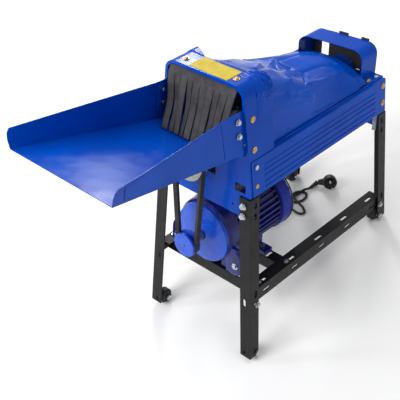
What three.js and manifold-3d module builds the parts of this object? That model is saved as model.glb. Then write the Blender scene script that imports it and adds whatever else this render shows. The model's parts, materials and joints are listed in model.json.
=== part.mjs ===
// Electric maize sheller on a slotted-angle stand, millimetres.
// Body frame: Y runs from the feed tray (negative) to the cob outlet (positive), Z is square to the body.
// place() tips the whole machine back so that it stands on its four wheels, +Z up.
import * as THREE from "three";
import { mergeVertices } from "three/addons/utils/BufferGeometryUtils.js";
import Module from "manifold-3d";

// ---- driving dimensions
const sheet = 1.6;
const gap = 0.4;
const bodyLength = 500;
const legTopZ = 428;
const panelTopZ = 515;
const panelBottomZ = 432;
const skirtBottomZ = 377;
const archTopZ = 680;
const archCornerR = 32;
const archCornerX = 78;
const sideX0 = 132;
const sideLean = 0.1056;
const sideLeanZ = 428.5;
const wrapDepth = 82;
const wrapTopDepth = 56;
const trayFrontY = -383;
const trayFrontZ = 620;
const trayFrontHalf = 140;
const trayBackZ = 534;
const drumZ = 496;
const drumCoreR = 34;
const drumTipR = 48;
const drumFromY = 16;
const drumToY = 484;
const shaftR = 10;
const concaveR = 60;
const motorX = -8;
const motorZ = 272;
const motorShaftR = 12;
const beltY = -48;
const drumPulleyR = 45;
const motorPulleyR = 30;
const grooveDepth = 9;
const legFlange = 30;
const legThick = 3;
const legTopX = 133;
const legFootX = 161;
const railTopZ = 184;
const railBottomZ = 148;
const railOuterX = 144.5;
const barTopZ = 180.6;
const wheelR = 19;
const wheelWidth = 22;
const frontWheelY = 1.5;
const frontWheelZ = 8;
const rearWheelY = 504;
const rearWheelZ = 126;
const cordR = 3.3;
const frontSplay = 0.0425;
const rearSplay = 0.078;

const tilt = Math.atan2(rearWheelZ - frontWheelZ, rearWheelY - frontWheelY);
const cosT = Math.cos(tilt);
const sinT = Math.sin(tilt);
const liftZ = wheelR - (frontWheelZ * cosT - frontWheelY * sinT);
const centreY = 198.33;

const wasm = await Module();
wasm.setup();

// ---- solids and booleans
function toSolid(geometry) {
  const g = geometry.clone();
  g.deleteAttribute("normal");
  g.deleteAttribute("uv");
  const m = mergeVertices(g.index ? g.toNonIndexed() : g, 1e-4);
  const vertProperties = new Float32Array(m.attributes.position.array);
  const triVerts = new Uint32Array(m.index.array);
  return new wasm.Manifold(new wasm.Mesh({ numProp: 3, vertProperties, triVerts }));
}

function toGeometry(solid) {
  const mesh = solid.getMesh();
  const g = new THREE.BufferGeometry();
  const position = new Float32Array(mesh.numVert * 3);
  for (let i = 0; i < mesh.numVert; i++) {
    position[3 * i] = mesh.vertProperties[mesh.numProp * i];
    position[3 * i + 1] = mesh.vertProperties[mesh.numProp * i + 1];
    position[3 * i + 2] = mesh.vertProperties[mesh.numProp * i + 2];
  }
  g.setAttribute("position", new THREE.BufferAttribute(position, 3));
  g.setIndex(Array.from(mesh.triVerts));
  return g;
}

function join(...list) {
  let solid = toSolid(list[0]);
  for (const g of list.slice(1)) solid = solid.add(toSolid(g));
  return toGeometry(solid);
}

function cut(geometry, ...tools) {
  let solid = toSolid(geometry);
  for (const g of tools) solid = solid.subtract(toSolid(g));
  return toGeometry(solid);
}

function common(a, b) {
  return toGeometry(toSolid(a).intersect(toSolid(b)));
}

// ---- shapes
function box(x0, x1, y0, y1, z0, z1) {
  const g = new THREE.BoxGeometry(x1 - x0, y1 - y0, z1 - z0);
  g.translate((x0 + x1) / 2, (y0 + y1) / 2, (z0 + z1) / 2);
  return g;
}

// turned body about a line parallel to Y through (x, z); profile is [radius, y] from y low to y high
function turnedY(profile, x, z, segments = 48) {
  const points = profile.map(([r, y]) => new THREE.Vector2(r, y));
  const g = new THREE.LatheGeometry(points, segments);
  g.translate(x, 0, z);
  return g;
}

function cylinderY(radius, y0, y1, x, z, segments = 32) {
  return turnedY([[0, y0], [radius, y0], [radius, y1], [0, y1]], x, z, segments);
}

function cylinderX(radius, x0, x1, y, z, segments = 12) {
  const g = turnedY([[0, x0], [radius, x0], [radius, x1], [0, x1]], 0, 0, segments);
  g.rotateZ(-Math.PI / 2);
  g.translate(0, y, z);
  return g;
}

function cylinderZ(radius, z0, z1, x, y, segments = 12) {
  const g = turnedY([[0, z0], [radius, z0], [radius, z1], [0, z1]], 0, 0, segments);
  g.rotateX(Math.PI / 2);
  g.translate(x, y, 0);
  return g;
}

// closed outline of [x, z] points drawn out along Y
function extrudeY(outline, y0, y1) {
  const shape = new THREE.Shape(outline.map(([x, z]) => new THREE.Vector2(x, z)));
  const g = new THREE.ExtrudeGeometry(shape, { depth: y1 - y0, bevelEnabled: false });
  g.rotateX(Math.PI / 2);
  g.translate(0, y1, 0);
  return g;
}

function arc(cx, cz, r, from, to, steps) {
  const out = [];
  for (let i = 0; i <= steps; i++) {
    const a = ((from + ((to - from) * i) / steps) * Math.PI) / 180;
    out.push([cx + r * Math.cos(a), cz + r * Math.sin(a)]);
  }
  return out;
}

// slot with round ends in the plane square to axis "x" or "y", long along Z
function slotTool(axis, u, z, length, width, from, to) {
  const half = (length - width) / 2;
  const outline = [...arc(u, z + half, width / 2, 0, 180, 4), ...arc(u, z - half, width / 2, 180, 360, 4)];
  const g = extrudeY(outline, from, to);
  if (axis === "x") {
    g.rotateZ(-Math.PI / 2);
    g.scale(1, -1, 1);
    flip(g);
  }
  return g;
}

function flip(g) {
  if (g.index) {
    const a = g.index.array;
    for (let i = 0; i < a.length; i += 3) [a[i], a[i + 1]] = [a[i + 1], a[i]];
  } else {
    const p = g.attributes.position.array;
    for (let i = 0; i < p.length; i += 9) {
      for (let k = 0; k < 3; k++) [p[i + k], p[i + 3 + k]] = [p[i + 3 + k], p[i + k]];
    }
  }
  return g;
}

function mirrorX(geometry) {
  const g = geometry.clone();
  g.scale(-1, 1, 1);
  return flip(g);
}

// bends a geometry: each point is moved by fn(x, y, z) -> [x, y, z]
function warp(geometry, fn) {
  const g = geometry.index ? geometry.toNonIndexed() : geometry;
  const p = g.attributes.position;
  for (let i = 0; i < p.count; i++) p.setXYZ(i, ...fn(p.getX(i), p.getY(i), p.getZ(i)));
  return g;
}

// strip of sheet: rows of open outlines, outer and inner, joined from row to row
function loftSheet(outer, inner) {
  const n = outer[0].length;
  const position = [];
  const index = [];
  const rows = outer.length;
  for (let r = 0; r < rows; r++) {
    for (const p of outer[r]) position.push(...p);
    for (const p of inner[r]) position.push(...p);
  }
  const o = (r, i) => r * 2 * n + i;
  const q = (r, i) => r * 2 * n + n + i;
  const quad = (a, b, c, d) => index.push(a, b, c, a, c, d);
  for (let r = 0; r + 1 < rows; r++) {
    for (let i = 0; i + 1 < n; i++) {
      quad(o(r, i), o(r, i + 1), o(r + 1, i + 1), o(r + 1, i));
      quad(q(r, i + 1), q(r, i), q(r + 1, i), q(r + 1, i + 1));
    }
    quad(q(r, 0), o(r, 0), o(r + 1, 0), q(r + 1, 0));
    quad(o(r, n - 1), q(r, n - 1), q(r + 1, n - 1), o(r + 1, n - 1));
  }
  for (let i = 0; i + 1 < n; i++) {
    quad(o(0, i + 1), o(0, i), q(0, i), q(0, i + 1));
    quad(o(rows - 1, i), o(rows - 1, i + 1), q(rows - 1, i + 1), q(rows - 1, i));
  }
  const g = new THREE.BufferGeometry();
  g.setAttribute("position", new THREE.Float32BufferAttribute(position, 3));
  g.setIndex(index);
  return outward(g);
}

function outward(g) {
  const p = g.attributes.position;
  const t = g.index.array;
  let volume = 0;
  const a = new THREE.Vector3();
  const b = new THREE.Vector3();
  const c = new THREE.Vector3();
  for (let i = 0; i < t.length; i += 3) {
    a.fromBufferAttribute(p, t[i]);
    b.fromBufferAttribute(p, t[i + 1]);
    c.fromBufferAttribute(p, t[i + 2]);
    volume += a.dot(b.cross(c));
  }
  return volume < 0 ? flip(g) : g;
}

// hexagon head, washer, shank and nut along X, as one piece; the head faces +X
function boltX(y, z, headX, nutX, r = 3, headFlat = 5.5) {
  const head = cylinderX(headFlat, headX - 4, headX, y, z, 6);
  const washer = cylinderX(headFlat + 1.2, headX - 5, headX - 4, y, z, 12);
  const shank = cylinderX(r, nutX, headX - 1, y, z, 10);
  const nut = cylinderX(headFlat, nutX + 1, nutX + 5, y, z, 6);
  return join(head, washer, shank, nut);
}

const sideX = (z) => sideX0 - sideLean * (z - sideLeanZ);

// ---- stand
function legLocal(length, slots) {
  // corner at the origin, side flange along +Y, front flange along -X, foot at z = 0
  const t = legThick;
  const f = legFlange;
  const section = [[0, 0], [0, f], [-t, f], [-t, t], [-f, t], [-f, 0]];
  const shape = new THREE.Shape(section.map(([x, y]) => new THREE.Vector2(x, y)));
  const bar = new THREE.ExtrudeGeometry(shape, { depth: length, bevelEnabled: false });
  const tools = [];
  for (const [u, z, len] of slots.front) tools.push(slotTool("y", -u, z, len, 8, -2, legThick + 2));
  for (const [u, z, len] of slots.side) tools.push(slotTool("x", u, z, len, 8, -legThick - 2, 2));
  return cut(bar, ...tools);
}

function leg(x, zFoot, yTop, yFoot, rear, slots) {
  const length = legTopZ - zFoot;
  let g = legLocal(length, slots);
  if (rear) {
    g.scale(1, -1, 1);
    flip(g);
  }
  const footX = legTopX + ((legFootX - legTopX) * length) / legTopZ;
  g = warp(g, (px, py, pz) => {
    const t = 1 - pz / length;
    return [px + legTopX + (footX - legTopX) * t, py + yTop + (yFoot - yTop) * t, pz + zFoot];
  });
  return x < 0 ? mirrorX(g) : g;
}

function frontLeg(x) {
  const slots = { front: [[18, 155, 22], [18, 12, 8.2], [23.1, 381, 8.2], [21.4, 406, 8.2]],
    side: [[19, 178, 20], [18, 150, 8.2], [23.2, 8, 8.2], [17, 383, 16], [17, 409, 16]] };
  return leg(x, 0, -3.8, -22, false, slots);
}

function rearLeg(x) {
  const slots = { front: [[18, 80, 22], [23.1, 263, 8.2], [21.4, 288, 8.2]],
    side: [[14, 66, 20], [15, 38, 8.2], [23.4, 8, 8.2], [17, 265, 16], [17, 291, 16]] };
  return leg(x, rearWheelZ - 8, bodyLength + 3.8, 528, true, slots);
}

function rail(x) {
  const top = box(railOuterX - 30, railOuterX, 0, 505, railTopZ - legThick, railTopZ);
  const web = box(railOuterX - legThick, railOuterX, 0, 505, railBottomZ, railTopZ - 1);
  const bar = join(top, web);
  const tools = [];
  for (const y of [46, 152, 258, 364, 470]) {
    const t = slotTool("y", railOuterX - 12, 0, 26, 7, -20, 20);
    t.rotateX(Math.PI / 2);
    t.translate(0, y, railTopZ);
    tools.push(t);
    const s = slotTool("x", 0, 0, 26, 7, -20, 20);
    s.rotateX(Math.PI / 2);
    s.translate(railOuterX, y + 4, 163);
    tools.push(s);
  }
  for (const y of [35, 134]) tools.push(cylinderZ(3.6, railTopZ - 9, railTopZ + 5, railOuterX - 12, y, 16));
  const g = cut(bar, ...tools);
  return x < 0 ? mirrorX(g) : g;
}

function crossbar(y0) {
  const plate = box(-139, 139, y0, y0 + 30, barTopZ - legThick, barTopZ);
  const web = box(-139, 139, y0, y0 + legThick, barTopZ - 30, barTopZ - 1);
  const bar = join(plate, web);
  const tools = [];
  for (const x of [-98, 82]) {
    const t = slotTool("x", 0, 0, 24, 7, -20, 20);
    t.rotateY(Math.PI / 2);
    t.rotateZ(Math.PI / 2);
    t.translate(x, y0 + 15, barTopZ);
    tools.push(t);
  }
  const drill = (r, x) => cylinderZ(r, barTopZ - 9, barTopZ + 5, x, y0 + 15, 16);
  tools.push(drill(4.2, motorX - 70), drill(4.2, motorX + 70), drill(3.6, -132.5), drill(3.6, 132.5));
  return cut(bar, ...tools);
}

function wheel(x, y, z) {
  // solid rubber tyre with a hub bore, turned about X
  const w = wheelWidth;
  const r = wheelR;
  const bore = 4.6;
  const profile = [[bore, 0], [r - 4, 0], [r, 4], [r, w - 4], [r - 4, w], [bore, w], [bore, 0]];
  const g = turnedY(profile, 0, 0, 28);
  g.rotateZ(-Math.PI / 2);
  g.translate(x - w / 2, y, z);
  return g;
}

function wheelCentre(side, rear) {
  const z = rear ? rearWheelZ : frontWheelZ;
  const innerFace = legTopX + ((legFootX - legTopX) * (legTopZ - z)) / legTopZ - legThick;
  const x = innerFace - 5 - wheelWidth / 2;
  return [side * x, rear ? rearWheelY : frontWheelY, z];
}

function wheelAxle(side, rear) {
  const [x, y, z] = wheelCentre(1, rear);
  const outside = x + wheelWidth / 2 + 5 + legThick;
  const inside = x - wheelWidth / 2;
  const head = cylinderX(6.5, outside + gap + 0.4, outside + gap + 4.6, y, z, 6);
  const shank = cylinderX(3.2, inside - 8, outside + gap + 1, y, z, 12);
  const sleeve = cylinderX(4.2, inside - 3, outside - legThick - gap, y, z, 20);
  const washer = cylinderX(7.5, outside - legThick - 2.6, outside - legThick - gap - 0.6, y, z, 20);
  const nut = cylinderX(6.5, inside - 7.5, inside - gap, y, z, 6);
  const g = join(head, shank, sleeve, washer, nut);
  return side < 0 ? mirrorX(g) : g;
}

function legBolts(side, rear) {
  // two bolts through the leg flange and the skirt, held by one nut strip behind the skirt
  const s = rear ? -1 : 1;
  const yFace = rear ? bodyLength : 0;
  const parts = [];
  const strip = [yFace + s * (sheet + 4), yFace + s * (sheet + 7)].sort((a, b) => a - b);
  parts.push(box(107.5, 118.5, strip[0], strip[1], 371, 416));
  for (const z of [381, 406]) {
    const lean = -s * (rear ? rearSplay : frontSplay) * (legTopZ - z);
    const face = yFace - s * (legThick + 0.8) + lean;
    const headTop = face - s * 4.6;
    const ends = [headTop, strip[0]].sort((a, b) => a - b);
    parts.push(cylinderY(3, ends[0], ends[1], 113, z, 16));
    const h = [headTop, face - s * (gap + 0.4)].sort((a, b) => a - b);
    parts.push(cylinderY(6, h[0], h[1], 113, z, 6));
  }
  const g = join(...parts);
  return side < 0 ? mirrorX(g) : g;
}

// ---- body
function archOutline(inset) {
  const r = archCornerR - inset;
  const right = [[sideX(panelBottomZ) - inset, panelBottomZ], [sideX(648) - inset, 648]];
  const corner = arc(archCornerX, 648, r, 4, 90, 8).filter(([x]) => x < sideX(648) - inset - 0.2);
  const half = [...right, ...corner];
  const left = half.map(([x, z]) => [-x, z]).reverse();
  return [...half, ...left];
}

function archBand(inset, y0, y1) {
  return extrudeY(archOutline(inset), y0, y1);
}

function frontArch() {
  const shell = cut(archBand(0, 0, wrapDepth), archBand(sheet, -5, wrapDepth + 5));
  // the top is shallower than the sides
  const topTrim = box(-92, 92, wrapTopDepth, wrapDepth + 5, 640, archTopZ + 5);
  const band = cut(shell, topTrim);
  const face = common(archBand(0, 0, sheet), box(-140, 140, -1, sheet + 1, 400, archTopZ + 5));
  const mouth = common(archBand(7, -3, sheet + 3), box(-130, 130, -3, sheet + 3, 529, archTopZ));
  const skirtX = sideX(panelBottomZ) - 3.6;
  const skirt = warp(box(-skirtX, skirtX, 0, sheet, skirtBottomZ, panelBottomZ + 1), (x, y, z) => {
    const lean = z < panelBottomZ ? frontSplay * (panelBottomZ - z) : 0;
    return [x, y - lean, z];
  });
  let g = join(band, cut(face, mouth), skirt);
  // tabs that carry the feed tray
  for (const s of [-1, 1]) {
    const tab = box(-sheet, 0, -30, sheet, 566, 626);
    const placed = warp(tab, (x, y, z) => [s * (x + sideX(z) - 10.2), y, z]);
    g = join(g, s < 0 ? flip(placed) : placed);
    const web = box(-13, 0, 0, sheet, 566, 626);
    const joined = warp(web, (x, y, z) => [s * (x + sideX(z) - 1), y, z]);
    g = join(g, s < 0 ? flip(joined) : joined);
  }
  const holes = [];
  holes.push(box(-33, 33, -5, 6, 449, 540));
  holes.push(box(87, 116, -5, 6, 437, 456));
  holes.push(cylinderY(2.6, -9, 6, 83, 399, 16));
  for (const s of [-1, 1]) {
    for (const z of [381, 406]) holes.push(cylinderY(3.4, -9, 9, s * 113, z, 16));
    for (const z of [583, 614]) holes.push(cylinderX(3.4, s * 104 - 9, s * 104 + 9, -18, z, 16));
    for (const z of [454, 499]) holes.push(cylinderX(3.4, s * 126 - 12, s * 126 + 12, 20, z, 16));
  }
  return cut(g, ...holes);
}

function ribbedPanelSide() {
  // side panel, +X side: web with pressed ribs, top flange turned inward
  const inner = (z) => sideX(z) + gap;
  const ribs = [[438, 444], [450, 456], [464, 471], [476, 483], [489, 495]];
  const from = 6;
  const to = bodyLength - 1;
  const web = warp(box(0, sheet, from, to, panelBottomZ, panelTopZ - 0.4), (x, y, z) => [x + inner(z), y, z]);
  const parts = [web];
  for (const [z0, z1] of ribs) {
    const rib = box(0, 3, 44, 458, z0, z1);
    const mid = (z0 + z1) / 2;
    parts.push(warp(rib, (x, y, z) => {
      const t = x > 1 ? 0.55 : 1;
      const zz = mid + (z - mid) * t;
      const yy = x > 1 ? 251 + (y - 251) * 0.985 : y;
      return [x + inner(zz) + sheet - 0.6, yy, zz];
    }));
  }
  const reach = sideX(panelTopZ) + gap;
  parts.push(box(98, reach + sheet, wrapDepth + 1, to, panelTopZ - sheet, panelTopZ));
  const solid = join(...parts);
  const tools = [];
  for (const z of [454, 499]) tools.push(cylinderX(3.4, 110, 140, 20, z, 16));
  return cut(solid, ...tools);
}

function sidePanel(side) {
  const g = ribbedPanelSide();
  return side < 0 ? mirrorX(g) : g;
}

function rearPlate() {
  const half = sideX(panelBottomZ) - 3.6;
  const top = 511;
  const halfTop = sideX(top) - 3.6;
  const right = [[half, panelBottomZ], [halfTop, top], [40, top]];
  const left = [[-40, top], [-halfTop, top]];
  const outline = [[-half, panelBottomZ], ...right, ...arc(0, drumZ, 38, 24, 156, 10), ...left];
  const y1 = bodyLength;
  const y0 = y1 - sheet;
  const upper = extrudeY(outline, y0, y1);
  const skirt = warp(box(-half, half, y0, y1, skirtBottomZ, panelBottomZ + 1), (x, y, z) => {
    const lean = z < panelBottomZ ? rearSplay * (panelBottomZ - z) : 0;
    return [x, y + lean, z];
  });
  const sides = [];
  for (const s of [-1, 1]) {
    const lean = (x, y, z) => [s * (sideX(z) - gap - x), y, z];
    const ret = warp(box(0, sheet, y1 - 30, y1, panelBottomZ, top), lean);
    const fold = warp(box(0, 6, y0, y1, panelBottomZ, top), lean);
    sides.push(s > 0 ? flip(ret) : ret, s > 0 ? flip(fold) : fold);
  }
  const solid = join(upper, skirt, ...sides);
  const tools = [cylinderY(shaftR + 6, y0 - 5, y1 + 5, 0, drumZ, 32)];
  for (const z of [381, 406]) {
    for (const s of [-1, 1]) tools.push(cylinderY(3.4, y0 - 9, y1 + 9, s * 113, z, 16));
  }
  return cut(solid, ...tools);
}

function topCover() {
  // half outlines [x, z] from the middle to the foot, one per station along Y
  const stations = [
    [50, [[0, 668], [45, 668], [84, 664], [100, 647], [103, 622], [108, 575], [112, 519]]],
    [84, [[0, 664], [45, 664], [84, 658], [101, 640], [106, 620], [109, 575], [112, 519]]],
    [165, [[0, 640], [45, 638], [82, 625], [98, 612], [104, 594], [109, 560], [112, 519]]],
    [228, [[0, 598], [42, 606], [80, 600], [97, 592], [103, 576], [108, 550], [112, 519]]],
    [285, [[0, 575], [36, 580], [72, 584], [92, 572], [101, 557], [107, 540], [112, 519]]],
    [345, [[0, 575], [34, 575], [58, 572], [86, 557], [99, 543], [106, 532], [112, 519]]],
    [410, [[0, 568], [26, 566], [50, 560], [78, 549], [95, 537], [104, 528], [112, 519]]],
    [414, [[0, 557], [26, 556], [48, 550], [72, 538], [90, 529], [102, 523], [110, 518]]],
    [440, [[0, 555], [26, 554], [48, 547], [70, 535], [88, 527], [100, 522], [109, 518]]],
  ];
  const outer = [];
  const inner = [];
  for (const [y, half] of stations) {
    const o = [];
    const n = [];
    for (let i = 0; i < half.length; i++) {
      const [x, z] = half[i];
      const a = half[Math.max(i - 1, 0)];
      const b = half[Math.min(i + 1, half.length - 1)];
      let dx = b[0] - a[0];
      let dz = b[1] - a[1];
      if (i === 0) {
        dx = 1;
        dz = 0;
      }
      const l = Math.hypot(dx, dz);
      o.push([x, z]);
      n.push([i === 0 ? 0 : x + (sheet * dz) / l, z - (sheet * dx) / l]);
    }
    o[half.length - 1] = [112, 515.5 + sheet];
    n[half.length - 1] = [112 - sheet, 515.5];
    o.push([118, 515.5 + sheet]);
    n.push([118, 515.5]);
    const mirrored = (list) => list.slice(1).reverse().map(([x, z]) => [-x, y, z]);
    const full = (list) => [...mirrored(list), ...list.map(([x, z]) => [x, y, z])];
    outer.push(full(o));
    inner.push(full(n));
  }
  return loftSheet(outer, inner);
}

function dischargeHood() {
  const halfW = 92;
  const topZ = 592;
  const r = 28;
  const foot = panelTopZ + gap;
  const line = (d, low) => {
    const w = halfW - d;
    const rr = r - d;
    return [[116, low], [w, low], [w, topZ - r], ...arc(w - rr, topZ - r, rr, 10, 90, 7)];
  };
  const o = line(0, foot + sheet);
  const n = line(sheet, foot);
  const mirrored = (list) => list.map(([x, z]) => [-x, z]);
  const outline = [...o, ...mirrored(o).reverse(), ...mirrored(n), ...n.slice().reverse()];
  return hoodSag(extrudeY(outline, 442, 502));
}

function hoodSag(g) {
  // the hood's crown leans a little lower towards the left
  return warp(g, (x, y, z) => {
    const rise = Math.min(Math.max((z - 530) / 60, 0), 1);
    return [x, y, z - (10 * rise * (92 - x)) / 184];
  });
}

function hoodArch(inset) {
  // filled section of the hood, smaller by inset
  const w = 92 - inset;
  const r = 28 - inset;
  const right = [[w, panelTopZ + 6], [w, 564], ...arc(w - r, 564, r, 10, 90, 7)];
  return [...right, ...right.map(([x, z]) => [-x, z]).reverse()];
}

function outletFlap(x0, x1, bottom, tabs) {
  // rubber strip hung behind the hood's rear edge, its tabs standing over the edge
  const from = 502 + gap;
  const to = 505;
  let g = common(extrudeY(hoodArch(1), from, to), box(x0, x1, from - 1, to + 1, bottom, 600));
  for (const [a, b] of tabs) g = join(g, box(a, b, from, to, 586, 597));
  for (const [a, b] of [[x0, Math.min(x1, -50)], [Math.max(x0, 50), x1]]) {
    if (b > a) g = join(g, box(a, b, from, to, 492, bottom + 1));
  }
  return hoodSag(g);
}

function feedTray() {
  // y, fold half width, fold z, wall top half width, wall top z
  const list = [
    [trayFrontY, trayFrontHalf, trayFrontZ, trayFrontHalf + 5, trayFrontZ + 20],
    [trayFrontY + 3, trayFrontHalf - 0.2, trayFrontZ - 0.6, trayFrontHalf + 8, trayFrontZ + 31],
    [trayFrontY + 10, trayFrontHalf - 0.7, trayFrontZ - 2.2, trayFrontHalf + 10, trayFrontZ + 38],
    [-34, sideX(trayBackZ) - 6.4, 541, sideX(634) - 6, 634],
    [-1, sideX(trayBackZ) - 6.4, trayBackZ, sideX(634) - 6.6, 632],
  ];
  const outer = [];
  const inner = [];
  for (const [y, fw, fz, tw, tz] of list) {
    const line = (d) => [[-tw + d, y, tz], [-fw + d, y, fz + d], [fw - d, y, fz + d], [tw - d, y, tz]];
    outer.push(line(0));
    inner.push(line(sheet));
  }
  const tools = [];
  for (const z of [583, 614]) {
    for (const s of [-1, 1]) tools.push(cylinderX(3.4, s * 106 - 9, s * 106 + 9, -18, z, 16));
  }
  return cut(loftSheet(outer, inner), ...tools);
}

function trayBolt(side, z) {
  const x = sideX(z) - 6.4;
  const g = boltX(-18, z, x + 6.2, x - 13, 3, 5.5);
  return side < 0 ? mirrorX(g) : g;
}

function rubberCurtain() {
  // [y, z] from under the arch, through the mouth and down to the tray floor
  const bend = [[34, 676.2], [12, 676], [5, 672.5], [0, 667]];
  const path = [...bend, [-7, 655], [-18, 632], [-30, 607], [-42, 582], [-54, 558.5]];
  const t = 2.4;
  const outer = [];
  const inner = [];
  for (let i = 0; i < path.length; i++) {
    const a = path[Math.max(i - 1, 0)];
    const b = path[Math.min(i + 1, path.length - 1)];
    const l = Math.hypot(b[0] - a[0], b[1] - a[1]) / t;
    const [y, z] = path[i];
    const yIn = y - (b[1] - a[1]) / l;
    const zIn = z + (b[0] - a[0]) / l;
    const w = 84 + 8 * Math.min(1, i / 4);
    outer.push([[-w, y, z], [w - 4, y, z]]);
    inner.push([[-w, yIn, zIn], [w - 4, yIn, zIn]]);
  }
  return loftSheet(outer, inner);
}

function topLabel() {
  return box(-48, 42, 8, 50, archTopZ + 0.1, archTopZ + 0.5);
}

// ---- threshing set
function concave() {
  const flat = drumZ + 4;
  const r1 = concaveR + sheet;
  const o = [[-108, flat - sheet], ...arc(0, drumZ, r1, 178, 362, 28), [108, flat - sheet]];
  const n = [[108, flat], ...arc(0, drumZ, concaveR, 363, 177, 28), [-108, flat]];
  const g = extrudeY([...o, ...n], 18, 492);
  const tools = [];
  for (let row = 0; row < 8; row++) {
    const a = ((207 + row * 18) * Math.PI) / 180;
    for (let k = 0; k < 4; k++) {
      const y0 = 32 + k * 114;
      const t = box(-5, 5, y0, y0 + 98, -6, 6);
      t.rotateY(-(a - Math.PI / 2));
      t.translate(concaveR * Math.cos(a), 0, drumZ + concaveR * Math.sin(a));
      tools.push(t);
    }
  }
  return cut(g, ...tools);
}

function drumRotor() {
  // rolled tube on two end discs and a hub sleeve, with a spiral of beater studs
  const bore = shaftR + gap;
  const from = drumFromY;
  const to = drumToY;
  const profile = [[bore, from], [drumCoreR, from], [drumCoreR, to], [bore, to], [bore, from]];
  const inner = [[bore + 3, from + 5], [drumCoreR - 4, from + 5], [drumCoreR - 4, to - 5], [bore + 3, to - 5]];
  let solid = toSolid(turnedY(profile, 0, drumZ, 28));
  solid = solid.subtract(toSolid(turnedY([...inner, inner[0]], 0, drumZ, 28)));
  for (let i = 0; i < 4; i++) {
    const a = (i * Math.PI) / 2;
    const hole = cylinderY(5, from - 5, to + 5, 22 * Math.cos(a), drumZ + 22 * Math.sin(a), 12);
    solid = solid.subtract(toSolid(hole));
  }
  const count = 30;
  for (let i = 0; i < count; i++) {
    const a = (i * 2 * Math.PI) / 6 + i * 0.14;
    const y = from + 18 + (i * (to - from - 36)) / (count - 1);
    const stud = box(drumCoreR - 3, drumTipR, -7, 7, -4.5, 4.5);
    stud.rotateY(-a);
    stud.translate(0, y, drumZ);
    solid = solid.add(toSolid(stud));
  }
  return toGeometry(solid);
}

function drumShaft() {
  const r = shaftR;
  return turnedY([[0, -59], [r - 1, -59], [r, -58], [r, 517], [r - 1, 518], [0, 518]], 0, drumZ, 32);
}

function bearing(y0, y1, hub) {
  // two-bolt flanged housing, bored for the shaft
  const r = 24;
  const ears = 46;
  const outline = [...arc(ears - 12, drumZ, 12, -60, 60, 6), ...arc(0, drumZ, r, 60, 120, 6),
    ...arc(-(ears - 12), drumZ, 12, 120, 240, 6), ...arc(0, drumZ, r, 240, 300, 6)];
  const plate = extrudeY(outline, y0, y1);
  const h = hub > 0 ? [y1 - 1, y1 + hub] : [y0 + hub, y0 + 1];
  const boss = cylinderY(20, h[0], h[1], 0, drumZ, 32);
  const solid = join(plate, boss);
  const low = Math.min(y0, h[0]) - 5;
  const high = Math.max(y1, h[1]) + 5;
  return cut(solid, cylinderY(shaftR + gap, low, high, 0, drumZ, 32));
}

// ---- drive
function grooveProfile(r, bore, half = 10) {
  // V groove for a belt 13 wide on top, sides 17 degrees
  const root = r - grooveDepth - 2;
  const top = 6.9;
  const low = top - (grooveDepth + 2) * 0.31;
  return [[bore, beltY - half], [r, beltY - half], [r, beltY - top], [root, beltY - low], [root, beltY + low],
    [r, beltY + top], [r, beltY + half], [bore, beltY + half], [bore, beltY - half]];
}

function drumPulley() {
  const g = turnedY(grooveProfile(drumPulleyR, shaftR + gap), 0, drumZ, 40);
  const tools = [];
  for (let i = 0; i < 4; i++) {
    const a = (i * Math.PI) / 2 + 0.4;
    tools.push(cylinderY(5, beltY - 12, beltY + 12, 23 * Math.cos(a), drumZ + 23 * Math.sin(a), 12));
  }
  return cut(g, ...tools);
}

function motorPulley() {
  return turnedY(grooveProfile(motorPulleyR, motorShaftR + gap), motorX, motorZ, 36);
}

function driveBelt() {
  // outline of the belt run in the plane of the pulleys: arcs joined by the outside tangents
  const run = (rBig, rSmall, steps) => {
    const dx = 0 - motorX;
    const dz = drumZ - motorZ;
    const d = Math.hypot(dx, dz);
    const dir = Math.atan2(dz, dx);
    const open = Math.acos((rBig - rSmall) / d);
    const out = [];
    for (let i = 0; i <= steps; i++) {
      const a = dir - (Math.PI - open) + ((2 * Math.PI - 2 * open) * i) / steps;
      out.push([rBig * Math.cos(a), drumZ + rBig * Math.sin(a)]);
    }
    for (let i = 0; i <= steps; i++) {
      const a = dir + (Math.PI - open) + (2 * open * i) / steps;
      out.push([motorX + rSmall * Math.cos(a), motorZ + rSmall * Math.sin(a)]);
    }
    return out;
  };
  const steps = 18;
  const low = grooveDepth + 0.6;
  const ringAt = (inset, side) => {
    const loop = run(drumPulleyR - inset, motorPulleyR - inset, steps);
    return loop.map(([x, z]) => [x, beltY + side, z]);
  };
  const rings = [ringAt(0.4, -6.45), ringAt(0.4, 6.45), ringAt(low, 3.5), ringAt(low, -3.5)];
  const n = rings[0].length;
  const position = [];
  for (const ring of rings) for (const p of ring) position.push(...p);
  const index = [];
  for (let k = 0; k < 4; k++) {
    for (let i = 0; i < n; i++) {
      const a = k * n + i;
      const b = k * n + ((i + 1) % n);
      const c = ((k + 1) % 4) * n + ((i + 1) % n);
      const e = ((k + 1) % 4) * n + i;
      index.push(a, b, c, a, c, e);
    }
  }
  const g = new THREE.BufferGeometry();
  g.setAttribute("position", new THREE.Float32BufferAttribute(position, 3));
  g.setIndex(index);
  return outward(g);
}

// ---- motor
function motorFrontCover() {
  const bore = motorShaftR + 1.5;
  const profile = [[bore, -4], [30, -4], [66, -1], [73, 2], [74, 5], [74, 9.6], [bore, 9.6], [bore, -4]];
  return turnedY(profile, motorX, motorZ, 40);
}

function motorFeet(y0, y1) {
  const parts = [];
  const webOutline = [[36, barTopZ + 5], [60, barTopZ + 5], [62, 236], [46, 244]];
  for (const s of [-1, 1]) {
    const foot = box(-16, 18, y0, y1, barTopZ + gap, barTopZ + 11);
    foot.translate(motorX + s * 70, 0, 0);
    parts.push(foot);
    parts.push(extrudeY(webOutline.map(([x, z]) => [motorX + s * x, z]), y0 + 4, y1 - 4));
  }
  return parts;
}

function footHoles(y) {
  return [-1, 1].map((s) => cylinderZ(4.2, barTopZ - 5, barTopZ + 16, motorX + s * 70, y, 16));
}

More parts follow.
